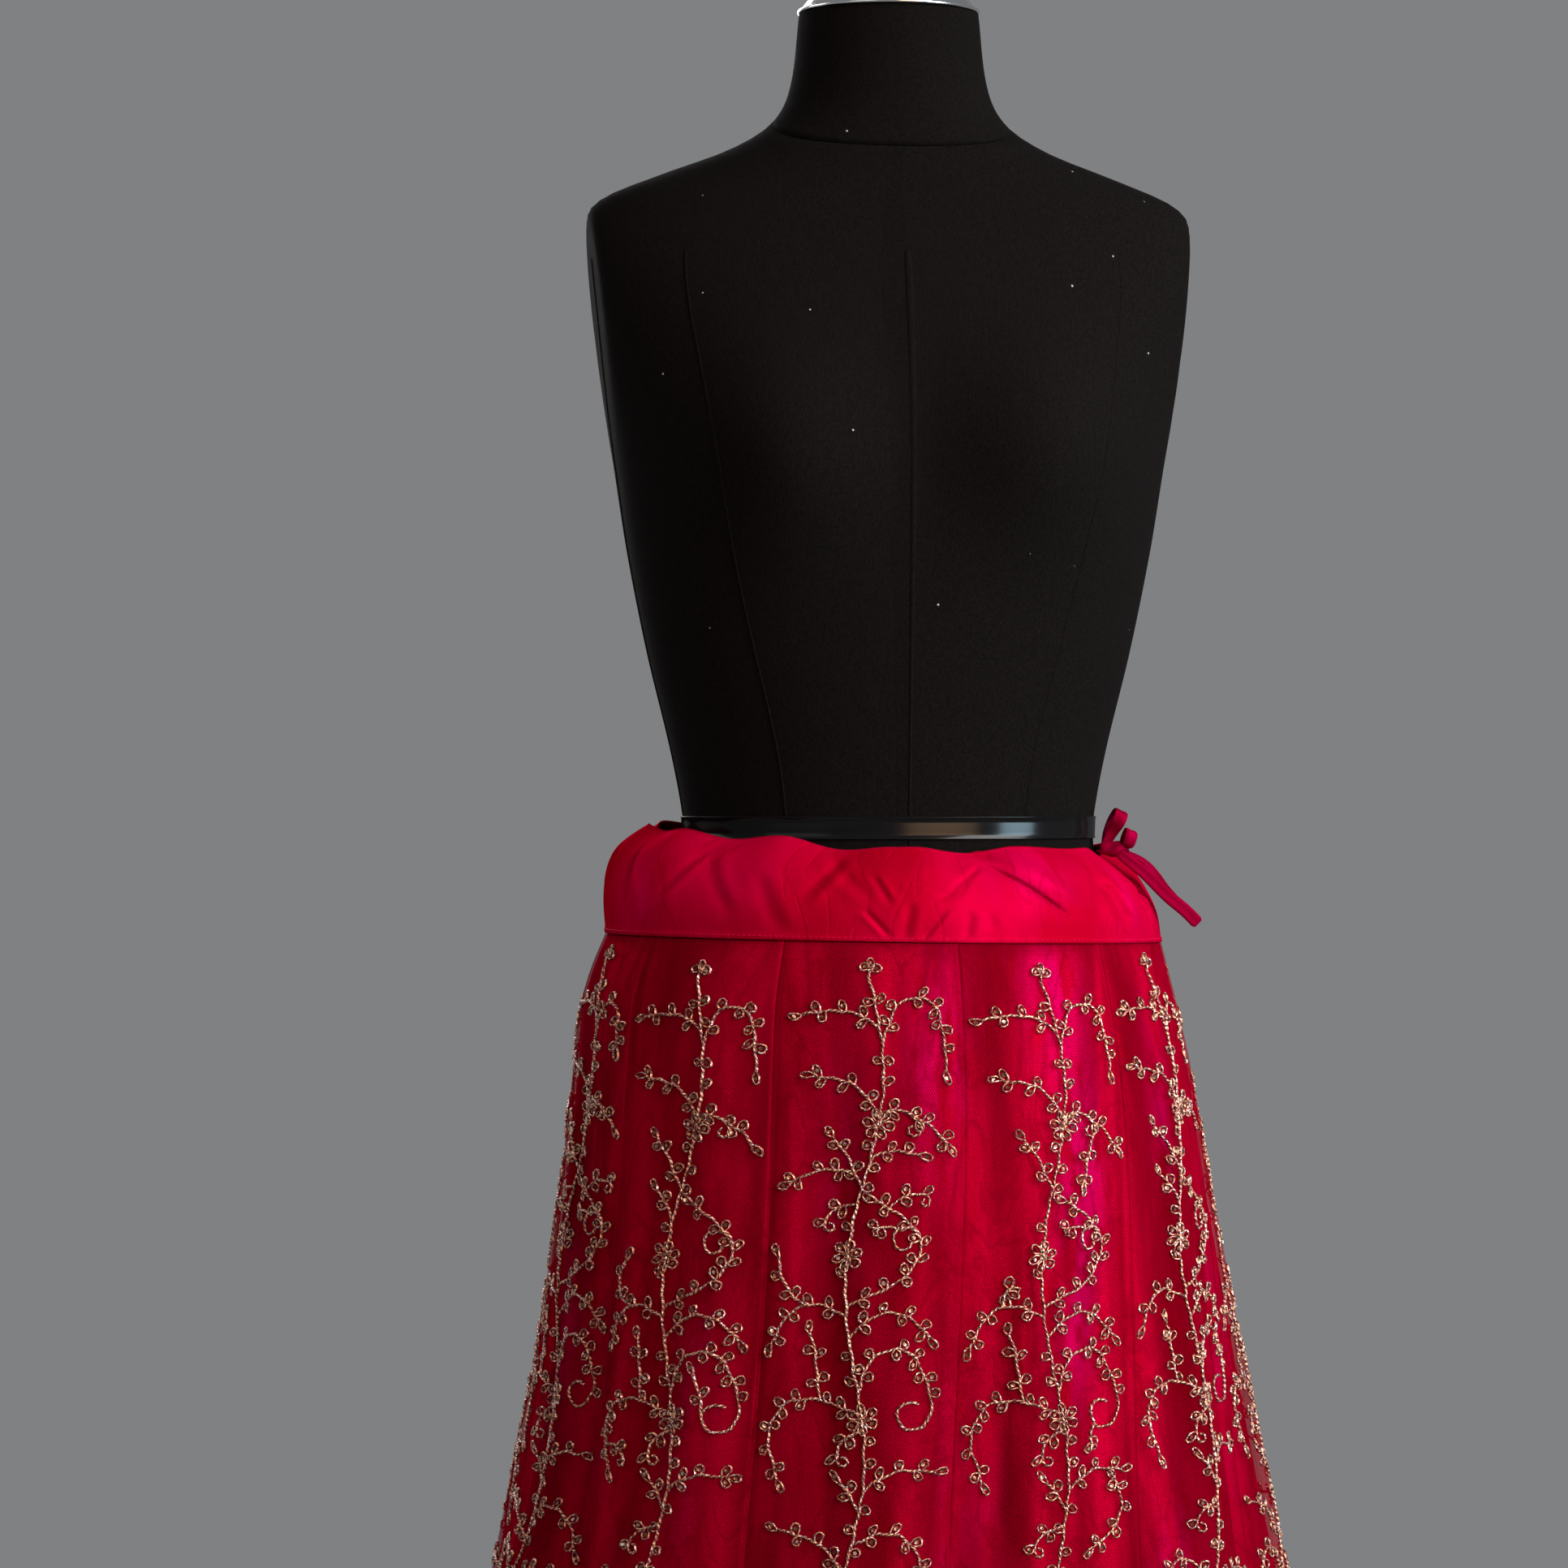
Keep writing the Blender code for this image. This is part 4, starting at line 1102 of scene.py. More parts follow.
CLOSE_ROOM = 3  # the room kept round the pattern, in cells of the plot
WIDE_ROOM = 4  # the room kept by the filling branches
PLOT_CELL = 0.001
PLOT_ROWS = 1100
PLOT_COLUMNS = 300
PLOT_MARGIN = 10

# The stems of a kali: where each starts and ends, how far from the middle it runs at its end as a
# share of the half width, which way it faces, and where in the pattern it starts.
KALI_STEMS = table(
    "top bottom spread facing phase",
    (0.018, 0.470, 0.0, 1, 0.0),
    (0.470, STEM_BOTTOM, 0.50, 1, 0.110),
    (0.470, STEM_BOTTOM, -0.50, -1, 0.060),
)


def heading_vector(heading):
    return np.array((math.sin(heading), math.cos(heading)))


def heading_of(path, at):
    step = path[at + 1] - path[at]
    return math.atan2(step[0], step[1])


def bend(start, heading, length, turn, early=0.0, late=1.0, curl=0.0):
    """A line from start that turns over part of its length and curls towards its end."""
    count = max(3, math.ceil(length / ZARI_STEP))
    share = (np.arange(count) + 0.5) / count
    curled = np.maximum(share - CURL_START, 0.0) / (1 - CURL_START)
    direction = heading + turn * smoothstep((share - early) / (late - early)) + curl * curled**CURL_POWER
    steps = np.stack([np.sin(direction), np.cos(direction)], -1) * length / count
    return np.vstack([start, start + np.cumsum(steps, axis=0)])


class Plot:
    """Which millimetres of the cloth are taken by what has been drawn, with some room round it."""

    def __init__(self, clear):
        self.taken = np.zeros((PLOT_ROWS, PLOT_COLUMNS), bool)
        span = range(-clear, clear + 1)
        self.disc = [(x, y) for x in span for y in span if x * x + y * y <= clear**2 + 1]

    def cells(self, points):
        across, up = np.rint(points / PLOT_CELL).astype(int).T
        column = np.clip(PLOT_COLUMNS // 2 + across, PLOT_MARGIN, PLOT_COLUMNS - PLOT_MARGIN)
        row = np.clip(PLOT_MARGIN - up, PLOT_MARGIN, PLOT_ROWS - PLOT_MARGIN)
        return row, column

    def mark(self, points):
        row, column = self.cells(points)
        for x, y in self.disc:
            self.taken[row + y, column + x] = True

    def share_taken(self, points):
        return self.taken[self.cells(points)].mean() if len(points) else 0.0


class Vine:
    """The couched cords, leaf loops and sequins of one kali."""

    def __init__(self):
        self.cords = []
        self.loops = []
        self.sequins = []

    def add(self, other):
        self.cords += other.cords
        self.loops += other.loops
        self.sequins += other.sequins

    def points(self):
        return np.vstack(self.cords + self.loops)

    def leaf(self, base, heading, length=LEAF_LENGTH, width=LEAF_WIDTH):
        """A drop-shaped loop of cord with a sequin in it."""
        t = full_turn(LEAF_STEPS)
        along = length * (1 - np.cos(t)) / 2
        aside = width / 2 * np.sin(t) * np.sin(t / 2) ** 0.5
        forward = heading_vector(heading)
        across = np.array((forward[1], -forward[0]))
        self.loops.append(base + along[:, None] * forward + aside[:, None] * across)
        self.sequins.append(base + forward * length * SEQUIN_PLACE)

    def rosette(self, centre, turn):
        for heading in turn + full_turn(ROSETTE_LEAVES):
            base = centre + ROSETTE_OPENING * ROSETTE_CENTRE * heading_vector(heading)
            self.leaf(base, heading, ROSETTE_LEAF)
        t = full_turn(LEAF_STEPS)
        self.loops.append(centre + ROSETTE_CENTRE * np.stack([np.cos(t), np.sin(t)], -1))
        self.sequins.append(centre)

    def leaves(self, path, side, end, paired):
        """Leaves along a cord as far as end, most in pairs, one a step beyond the other."""
        step = np.linalg.norm(path[1] - path[0])
        spots = np.arange(FIRST_LEAF, end, LEAF_SPACING * (PAIRED_SPACING if paired else 1.0))
        for number, spot in enumerate(spots):
            both = paired or number % 4 != 1
            for beyond in (0, 1) if both else (0,):
                at = min(int(spot / step) + beyond, len(path) - 2)
                leaf_side = (-1) ** (number + beyond) * side
                self.leaf(path[at], heading_of(path, at) + leaf_side * LEAF_TURN)

    def branch(self, start, kind, side, size, heading):
        shape = BRANCHES[kind]
        length = shape.length * size
        turn, curl = side * math.radians(shape.turn), side * math.radians(shape.curl)
        path = bend(start, heading, length, turn, shape.early, shape.late, curl)
        self.cords.append(path)
        leafy_share = LEAFY_SHARE_CURLED if shape.curl else LEAFY_SHARE
        self.leaves(path, side, leafy_share * length, shape.paired)
        last = len(path) - 1
        if not shape.curl:
            self.leaf(path[last], heading_of(path, last - 1), TIP_LENGTH, TIP_WIDTH)
        if shape.twig:
            at = int(shape.twig_at * last)
            twig_heading = heading_of(path, at) + side * math.radians(BRANCHES[shape.twig].heading)
            self.branch(path[at], shape.twig, side, size, twig_heading)


class KaliDrawing:
    """Draws one kali's vine, keeping its branches apart and inside the seams."""

    def __init__(self, half_width):
        self.half_width = half_width
        self.base_reach = BASE_REACH
        self.close = Plot(CLOSE_ROOM)
        self.wide = Plot(WIDE_ROOM)
        self.plot = self.close
        self.vine = Vine()

    def mark(self, points):
        self.close.mark(points)
        self.wide.mark(points)

    def fits(self, trial, start, crowding):
        points = trial.points()
        down = -points[:, 1]
        inside = np.abs(points[:, 0]) < self.half_width(down) - SEAM_CLEAR
        inside &= (down > VINE_TOP) & (down < STEM_BOTTOM + VINE_OVERRUN)
        away = np.linalg.norm(points - start, axis=1) > self.base_reach
        return inside.all() and self.plot.share_taken(points[away]) <= crowding

    def grow(self, start, kind, side, heading, sizes, crowding):
        """Add the largest size of the branch that fits, if one does."""
        heading = heading + side * math.radians(BRANCHES[kind].heading)
        for size in sizes:
            trial = Vine()
            trial.branch(start, kind, side, size, heading)
            if self.fits(trial, start, crowding):
                self.vine.add(trial)
                self.mark(trial.points())
                return

    def stem_path(self, stem):
        downs = np.arange(stem.top, stem.bottom, ZARI_STEP)
        run = downs - stem.top
        across = stem.spread * self.half_width(downs) * smoothstep(run / STEM_SPREAD_RUN)
        ease = smoothstep(run / STEM_SWAY_RUN) if stem.spread else 1.0
        wave = np.sin(math.tau * run / STEM_SWAY_LENGTH)
        return np.stack([across + ease * STEM_SWAY * stem.facing * wave, -downs], -1)

    def stem(self, stem, path):
        """The pattern's branches along a stem, and the leaves between them."""

        def at_down(down):
            return min(max(round((down - stem.top) / ZARI_STEP), 1), len(path) - 2)

        def upward(at):
            return heading_of(path, at) + math.pi

        places = []
        for repeat in range(PATTERN_REPEATS):
            for motif in PATTERN:
                down = stem.top + motif.down + repeat * PATTERN_LENGTH - stem.phase
                if stem.top + STEM_START_CLEAR < down < stem.bottom - STEM_END_CLEAR:
                    places.append((down, motif.kind, motif.side * stem.facing * (-1) ** repeat))
        blooms = [down for down, kind, _ in places if kind == "rosette"]
        for down in blooms:
            bloom = Vine()
            bloom.rosette(path[at_down(down)], down * ROSETTE_TURN)
            self.vine.add(bloom)
            self.mark(bloom.points())
        for down, kind, side in places:
            if kind != "rosette":
                at = at_down(down)
                self.grow(path[at], kind, side, upward(at), BRANCH_SIZES, CROWDING)
        spots = np.arange(stem.top + STEM_FIRST_LEAF, stem.bottom, STEM_LEAF_SPACING)
        for number, down in enumerate(spots):
            if any(abs(down - bloom) < ROSETTE_REACH for bloom in blooms):
                continue
            at = at_down(down)
            for side in (1, -1) if number % 3 == 0 else ((-1) ** number,):
                leaf = Vine()
                leaf.leaf(path[at], upward(at) + side * LEAF_TURN)
                outer = leaf.loops[0][LEAF_OUTER_PART]
                if self.plot.share_taken(outer + LEAF_ROOM * (outer - path[at])) < LEAF_CROWDING:
                    self.vine.add(leaf)
        self.mark(path)

    def fill(self):
        """Small branches from the cords into the cloth that is still bare."""
        self.plot = self.wide
        self.base_reach = FILL_BASE_REACH
        for cord in list(self.vine.cords):
            for number, at in enumerate(range(FILL_STRIDE, len(cord) - 2, FILL_STRIDE)):
                if -cord[at][1] < FILL_TOP:
                    continue
                heading = heading_of(cord, at)
                if math.cos(heading) < FILL_DOWNWARD:
                    heading += math.pi
                for side in (1, -1):
                    kind = FILL_KINDS[(number + len(self.vine.cords)) % len(FILL_KINDS)]
                    self.grow(cord[at], kind, side, heading, FILL_SIZES, FILL_CROWDING)

    def draw(self):
        top = bend(np.array((0.0, -KALI_STEMS[0].top)), 0.0, CROWN_LENGTH, 0.0)
        self.vine.cords.append(top)
        for turn in CROWN_TURNS:
            self.vine.leaf(top[-1], math.radians(turn))
        paths = [self.stem_path(stem) for stem in KALI_STEMS]
        for path in paths:
            self.mark(path)
            self.vine.cords.append(path)
        for stem, path in zip(KALI_STEMS, paths):
            self.stem(stem, path)
        self.mark(self.vine.points())
        self.fill()
        return self.vine


# ---- The embroidery's meshes ---------------------------------------------------------------------


def tube_arrays(lines, closed, half_width, half_height):
    """Ridge-shaped cords along flat lines: across, up and out of the cloth, with quads and UVs.

    The UVs are in metres, along the cord and round it, so that a diagonal band is the cord's twist.
    """
    places, faces, uvs = [], [], []
    first = 0
    for line in lines:
        count = len(line)
        tangent = tangents(line, closed)
        aside = np.stack([tangent[:, 1], -tangent[:, 0]], -1) * half_width
        points = np.zeros((count, 3, 3))
        points[:, :, :2] = line[:, None] + aside[:, None] * np.array(((-1,), (0,), (1,)))
        points[:, :, 2] = np.array(CORD_RIDGE) * half_height
        if not closed:
            points[[0, -1], 1, 2] = half_height
        places.append(points.reshape(-1, 3))
        cyclic = {"cyclic_rows": closed, "cyclic_columns": True}
        faces.append(grid_quads(count, 3, **cyclic) + first)
        step = np.linalg.norm(line[1] - line[0])
        uvs.append(grid_corners(count, 3, **cyclic) * (step, 2 * ZARI_PITCH / 3))
        first += count * 3
    return np.vstack(places), np.vstack(faces), np.concatenate(uvs)


def sequin_arrays(centres, seed):
    """Small tilted cupped discs, one at each centre."""
    rng = np.random.default_rng(seed)
    centres = np.array(centres)
    count = len(centres)
    turn = rng.uniform(0, math.tau, count)[:, None] + full_turn(SEQUIN_CORNERS)
    tilt = rng.normal(0.0, SEQUIN_TILT, (count, 2))
    rim = SEQUIN_RADIUS * np.stack([np.cos(turn), np.sin(turn)], -1)
    height = SEQUIN_HEIGHT * SEQUIN_CUP + (rim * tilt[:, None]).sum(-1)
    rims = np.concatenate([centres[:, None] + rim, height[..., None]], -1)
    middle = np.concatenate([centres, np.full((count, 1), SEQUIN_HEIGHT)], -1)
    places = np.concatenate([rims, middle[:, None]], 1).reshape(-1, 3)
    fan = [(i, (i + 1) % SEQUIN_CORNERS, SEQUIN_CORNERS) for i in range(SEQUIN_CORNERS)]
    first = np.arange(count)[:, None, None] * (SEQUIN_CORNERS + 1)
    return places, (first + np.array(fan)).reshape(-1, 3)


def hand_sewn(places):
    """Flat places, each a little off its line in slow waves, as a hand lays the cord."""
    across, up = places[:, 0], places[:, 1]
    sewn = places.copy()
    for column, waves in enumerate(SEWN_WAVES):
        for rate_across, rate_up, phase, share in waves:
            sewn[:, column] += SEWN_WANDER * share * np.sin(across * rate_across + up * rate_up + phase)
    return sewn


class KaliMap:
    """Takes flat places on a kali to the net's surface."""

    def __init__(self, index):
        self.centre = (seam_angle(index) + seam_angle(index + 1)) / 2
        self.drop = VINE_DROP * (1 + math.sin(index * VINE_DROP_TURN))
        self.heights = np.linspace(NET_HEM, SEAM_HEIGHT, MAP_ROWS)
        ends = [net_point(self.centre + turn, self.heights) for turn in (-MAP_TURN, MAP_TURN)]
        self.widths = np.linalg.norm(ends[1] - ends[0], axis=-1) / (2 * MAP_TURN)

    def half_width(self, down):
        height = SEAM_HEIGHT - np.asarray(down) * CLOTH_TO_HEIGHT
        return np.interp(height, self.heights, self.widths) * math.pi / KALI_COUNT

    def place(self, places):
        places = hand_sewn(places)
        height = SEAM_HEIGHT + (places[:, 1] - self.drop) * CLOTH_TO_HEIGHT
        angle = self.centre + places[:, 0] / np.interp(height, self.heights, self.widths)
        return net_point(angle, height) + net_normal(angle, height) * places[:, 2:3]


def make_embroidery(name, index, zari, sequin):
    """The vine and the sequins of one kali, as two joined meshes."""
    kali = KaliMap(index)
    drawing = KaliDrawing(kali.half_width).draw()
    cords = tube_arrays(drawing.cords, False, ZARI_HALF_WIDTH, ZARI_HALF_HEIGHT)
    loops = tube_arrays(drawing.loops, True, LEAF_HALF_WIDTH, LEAF_HALF_HEIGHT)
    places = np.vstack([cords[0], loops[0]])
    faces = np.vstack([cords[1], loops[1] + len(cords[0])])
    uvs = np.concatenate([cords[2], loops[2]])
    vine = mesh_object(name + "_vine", kali.place(places), faces, zari, uvs)
    places, faces = sequin_arrays(drawing.sequins, seed=index)
    sequins = mesh_object(name + "_sequins", kali.place(places), faces, sequin)
    sequins.data.shade_flat()
    return [declare(piece, "embroidered_net") for piece in (vine, sequins)]


# ---- The skirt's pieces --------------------------------------------------------------------------


def panel(name, first, last, height, shares, surface, material):
    """A flared panel from one kali seam to another, half a seam gap in from each."""
    left, _, front, _ = read_table(SKIRT_SECTIONS, height)
    margin = SEAM_GAP / (left + front)
    start, end = seam_angle(first), seam_angle(last)
    angle = start + margin + (end - start - 2 * margin) * shares
    points = surface(angle, height)
    across = arc_lengths(points)
    down = arc_lengths(points.swapaxes(0, 1)).T
    return grid_object(name, points, across - across[:, -1:] / 2, -down, material), angle


def make_kalis(net, zari, sequin):
    side = NET_SIDE_TURN
    shares = np.concatenate([[0.0, side / 2], np.linspace(side, 1 - side, NET_COLUMNS), [1 - side / 2, 1.0]])
    heights = SEAM_HEIGHT - (SEAM_HEIGHT - NET_HEM) * np.linspace(0, 1, NET_ROWS) ** NET_ROW_SPREAD
    heights = np.append(heights, (SEAM_HEIGHT - NET_FIRST_ROW, NET_HEM + NET_HEM_TURN))
    heights = -np.sort(-heights)[:, None]
    doubled = np.zeros((len(heights), len(shares)))
    doubled[:, [0, 1, -2, -1]] = NET_SIDE_COVER
    doubled[-2:] = NET_HEM_COVER
    for index in range(KALI_COUNT):
        name = f"net_kali_{index + 1:02d}"
        kali, _ = panel(name + "_net", index, index + 1, heights, shares, net_point, net)
        set_attribute(kali, "doubled", doubled)
        thicken(kali, CLOTH_WALL)
        trims = make_embroidery(name, index, zari, sequin)
        declare(kali, "embroidered_net", name)


def make_lining(satin):
    heights = SEAM_HEIGHT - (SEAM_HEIGHT - LINING_HEM) * np.linspace(0, 1, GORE_ROWS)[:, None]
    shares = np.linspace(0, 1, GORE_COLUMNS)
    for gore in range(KALI_COUNT // KALIS_OVER_A_GORE):
        name = f"lining_gore_{gore + 1}"
        first = gore * KALIS_OVER_A_GORE
        last = first + KALIS_OVER_A_GORE
        piece, angle = panel(name + "_satin", first, last, heights, shares, lining_point, satin)
        # painted magenta sheen, given by place on the gore
        set_attribute(piece, "painted_sheen", painted_sheen_at(SATIN_PAINTED_SHEENS, angle, heights))
        thicken(piece, CLOTH_WALL)
        declare(piece, "satin_lining", name)


def make_waistband(satin):
    """The satin band as a closed strip: its outer face, its inner face and the rolled top edge."""
    margin = SEAM_GAP / WAISTBAND_SECTIONS[0].left / 2
    start, end = WAISTBAND_OPENING + margin - math.tau, WAISTBAND_OPENING - margin
    fine_start, fine_end = BAND_FINE_RANGE
    coarse = np.arange(start, fine_start, BAND_STEP)
    fine = np.arange(fine_start, fine_end, BAND_FINE_STEP)
    angle = np.concatenate([coarse, fine, np.linspace(fine_end, end, BAND_LAST_COLUMNS)])
    down = np.linspace(0, 1, BAND_ROWS)[:, None]
    outer = waistband_point(angle, down)
    normal = waistband_normal(angle, down)
    inner_rows = slice(None, None, -BAND_INNER_STRIDE)
    inner = (outer - normal * WAISTBAND_WALL)[inner_rows]
    middle = outer[0] - normal[0] * WAISTBAND_WALL / 2
    rise = np.array((0.0, 0.0, 1.0))
    turns = math.pi * (1 - np.arange(1, BAND_TURN_STEPS) / BAND_TURN_STEPS)
    roll = [middle + (normal[0] * math.cos(t) + rise * math.sin(t)) * WAISTBAND_WALL / 2 for t in turns]
    points = np.concatenate([outer, inner, roll])
    across = arc_lengths(outer[BAND_ROWS // 2][None])[0]
    drop = arc_lengths(points[None, :, 0]).T
    band = grid_object("waistband_satin", points, across, -drop, satin, cyclic_rows=True)
    level = np.concatenate([down, down[inner_rows], np.zeros((len(roll), 1))])
    # painted magenta sheen, given by place on the waistband
    set_attribute(band, "painted_sheen", painted_sheen_at(BAND_PAINTED_SHEENS, angle, level))
    close_ends(band)
    return declare(band, "satin", "waistband")


def make_stitches(material):
    """A row of small stitches that holds down the waistband's folded edge."""
    count = int(math.tau * BAND_RADIUS / STITCH_SPACING)
    middle = WAISTBAND_OPENING + math.tau * (np.arange(count) + 0.5) / count
    half_angle = STITCH_LENGTH / 2 / BAND_RADIUS
    down = 1 - STITCH_RISE / WAISTBAND_DEPTH
    half_down = STITCH_HALF_WIDTH / WAISTBAND_DEPTH
    corners = []
    for lift, share in ((0.0, 1.0), (STITCH_HEIGHT, STITCH_TOP_SHARE)):
        for across, up in ((-1, -1), (-1, 1), (1, 1), (1, -1)):
            angle = middle + across * half_angle * share
            level = down + up * half_down * share
            corners.append(waistband_point(angle, level) + waistband_normal(angle, level) * lift)
    points = np.stack(corners, 1).reshape(-1, 3)
    box = np.array([[4, 5, 6, 7], [3, 2, 1, 0], [0, 1, 5, 4], [1, 2, 6, 5], [2, 3, 7, 6], [3, 0, 4, 7]])
    faces = (np.arange(count)[:, None, None] * len(corners) + box).reshape(-1, 4)
    return declare(mesh_object("waistband_stitches", points, faces, material), "satin")


# ---- The drawstring ------------------------------------------------------------------------------


def ribbon(name, path, side, widths, thicknesses, material, closed=False):
    """A flattened fabric tube along the path, with a soft groove down its middle."""
    tangent = tangents(path, closed)
    side = unit(side - (side * tangent).sum(-1, keepdims=True) * tangent)
    face = np.cross(tangent, side)
    t = full_turn(RIBBON_SIDES)
    groove = 1 - RIBBON_GROOVE * np.exp(-((np.cos(t) / RIBBON_GROOVE_WIDTH) ** 2))
    across = widths[:, None] / 2 * signed_power(np.cos(t), RIBBON_SQUARENESS)
    out = thicknesses[:, None] / 2 * signed_power(np.sin(t), RIBBON_SQUARENESS) * groove
    points = path[:, None] + side[:, None] * across[..., None] + face[:, None] * out[..., None]
    along = np.arange(len(path))[:, None] * np.linalg.norm(path[1] - path[0])
    cyclic = {"cyclic_rows": closed, "cyclic_columns": True}
    piece = grid_object(name, points, t * RIBBON_RADIUS, along, material, **cyclic)
    close_ends(piece)
    return piece


def make_tail(kind, route, depth, end_share, twist, material):
    """A free end of the drawstring, its flat face turned by twist from the front, cut square."""
    x, y, z = KNOT_CENTRE
    inside = (x + TAIL_START[0], (depth + y) / 2, z + TAIL_START[1])
    path = smooth_path([inside, *((x, depth, z) for x, z in route)], TAIL_STEPS)
    share = np.linspace(0, 1, len(path))
    ripple = TAIL_RIPPLE * np.sin(share * TAIL_RIPPLE_TURN) * share
    path = path + np.stack([0 * share, ripple * 2, ripple], -1)
    side = np.cross(tangents(path), (0.0, -math.cos(twist), math.sin(twist)))
    widening = smoothstep(share / TAIL_WIDENING_SHARE)
    widths = CORD_WIDTH * (TAIL_START_SHARE + (end_share - TAIL_START_SHARE) * widening)
    widths[-2:] *= TAIL_CUT_WIDTHS
    thicknesses = CORD_THICKNESS * (TAIL_THINNING[0] + TAIL_THINNING[1] * share)
    thicknesses[-1] *= TAIL_CUT_THICKNESS
    tail = ribbon(f"drawstring_end_{kind}", path, side, widths, thicknesses, material)
    return declare(tail, "drawstring", f"drawstring_tail_{kind}"), path


def make_loop(kind, outline, place, turn, lean, material):
    """A loop of the bow, turned about the vertical and leaning ahead as it rises."""
    ahead = np.array((math.cos(turn), math.sin(turn), 0.0))
    side = np.array((-math.sin(turn), math.cos(turn), 0.0))
    flat = smooth_path([*outline, outline[0]], LOOP_STEPS)[:-1] * np.array(LOOP_STRETCH)
    path = np.array(place) + flat[:, :1] * ahead + flat[:, 1:] * np.array((lean, 0.0, 1.0))
    share = np.arange(len(path)) / len(path)
    opened = np.sin(math.pi * share) ** LOOP_SWELL
    widths = LOOP_WIDTH * (LOOP_WIDENING[0] + LOOP_WIDENING[1] * opened)
    thicknesses = CORD_THICKNESS * (LOOP_THINNING[0] + LOOP_THINNING[1] * opened)
    twist = LOOP_TWIST[0] * np.sin(math.tau * share) + LOOP_TWIST[1] * opened
    sides = side + twist[:, None] * np.array((0.0, 0.0, 1.0))
    loop = ribbon(f"drawstring_bow_{kind}", path, sides, widths, thicknesses, material, closed=True)
    return declare(loop, "drawstring", f"drawstring_loop_{kind}")


def make_knot(material):
    """The knot: a rounded core with the cord wrapped over it in ridges."""
    polar = math.pi * np.linspace(*KNOT_POLES, KNOT_ROWS)[:, None]
    around = full_turn(KNOT_COLUMNS)
    wraps = 1 + 0.11 * np.cos(5 * polar + 1.3 * np.sin(around)) + 0.06 * np.sin(3 * around + 2 * polar)
    x = np.cos(polar) + 0 * around
    y = -np.sin(polar) * np.cos(around)
    z = np.sin(polar) * np.sin(around)
    core = np.stack([x, y, z], -1) * np.array(KNOT_SIZE) * KNOT_SWELL
    points = np.array(KNOT_CENTRE) + core * wraps[..., None]
    knot = grid_object(
        "drawstring_knot_wraps",
        points,
        around * KNOT_RADIUS,
        polar * KNOT_RADIUS,
        material,
        cyclic_columns=True,
    )
    close_ends(knot)
    return declare(knot, "drawstring", "drawstring_knot")


def make_drawstring(material):
    knot = make_knot(material)
    x, y, z = KNOT_CENTRE
    half_width, _, half_height = KNOT_SIZE
    tall_place = (x + TALL_LOOP_START[0], y, z + half_height + TALL_LOOP_START[1])
    small_place = (x + half_width + SMALL_LOOP_START[0], y, z + SMALL_LOOP_START[1])
    tall = make_loop("tall", TALL_LOOP, tall_place, TALL_LOOP_TURN, TALL_LOOP_LEAN, material)
    small = make_loop("small", SMALL_LOOP, small_place, SMALL_LOOP_TURN, SMALL_LOOP_LEAN, material)
    front = make_tail("front", FRONT_TAIL, FRONT_TAIL_DEPTH, FRONT_TAIL_END_SHARE, 0.0, material)
    back = make_tail("back", BACK_TAIL, BACK_TAIL_DEPTH, BACK_TAIL_END_SHARE, BACK_TAIL_TWIST, material)


# ---- The dress form ------------------------------------------------------------------------------


def soft_clip(points, place, normal):
    """Points beyond the plane are laid on it, with a rounded edge."""
    beyond = (points - np.array(place)) @ normal
    kept = -CLIP_ROUNDING * np.logaddexp(0.0, -beyond / CLIP_ROUNDING)
    return points + (kept - beyond)[..., None] * normal


def neck_seam_height(angle):
    """The height of the tilted neck seam at an angle."""
    height = np.full_like(angle, NECK_SEAM_HEIGHT)
    for _ in range(NECK_SEAM_STEPS):
        height = NECK_SEAM_HEIGHT + math.tan(NECK_SEAM_TILT) * body_point(angle, height)[..., 1]
    return height


def form_surface(angle, height):
    """The dress form with its two armholes' flat ends."""
    points = body_point(angle, height)
    for side in (-1, 1):
        normal = np.array((side * math.cos(ARMHOLE_TILT), 0.0, math.sin(ARMHOLE_TILT)))
        points = soft_clip(points, (side * ARMHOLE_OFFSET, 0.0, ARMHOLE_HEIGHT), normal)
    return points


def form_piece(node, low, high, rows, spacing, jersey):
    """The form's surface between two heights, which may change with the angle, closed at both ends."""
    angle = full_turn(FORM_COLUMNS)
    height = low + (high - low) * (np.linspace(1, 0, rows) ** spacing)[:, None]
    points = form_surface(angle, height)
    piece = grid_object(node + "_jersey", points, angle * FORM_RADIUS, height, jersey, cyclic_columns=True)
    close_ends(piece)
    declare(piece, "jersey", node)


def make_form(jersey):
    seam = neck_seam_height(full_turn(FORM_COLUMNS))
    bottom = BODY_SECTIONS[0].height
    top = BODY_SECTIONS[-1].height
    form_piece("form_torso", bottom, seam - SEAM_GAP, TORSO_ROWS, TORSO_ROW_SPACING, jersey)
    form_piece("form_neck", seam + SEAM_GAP, top, NECK_ROWS, 1.0, jersey)


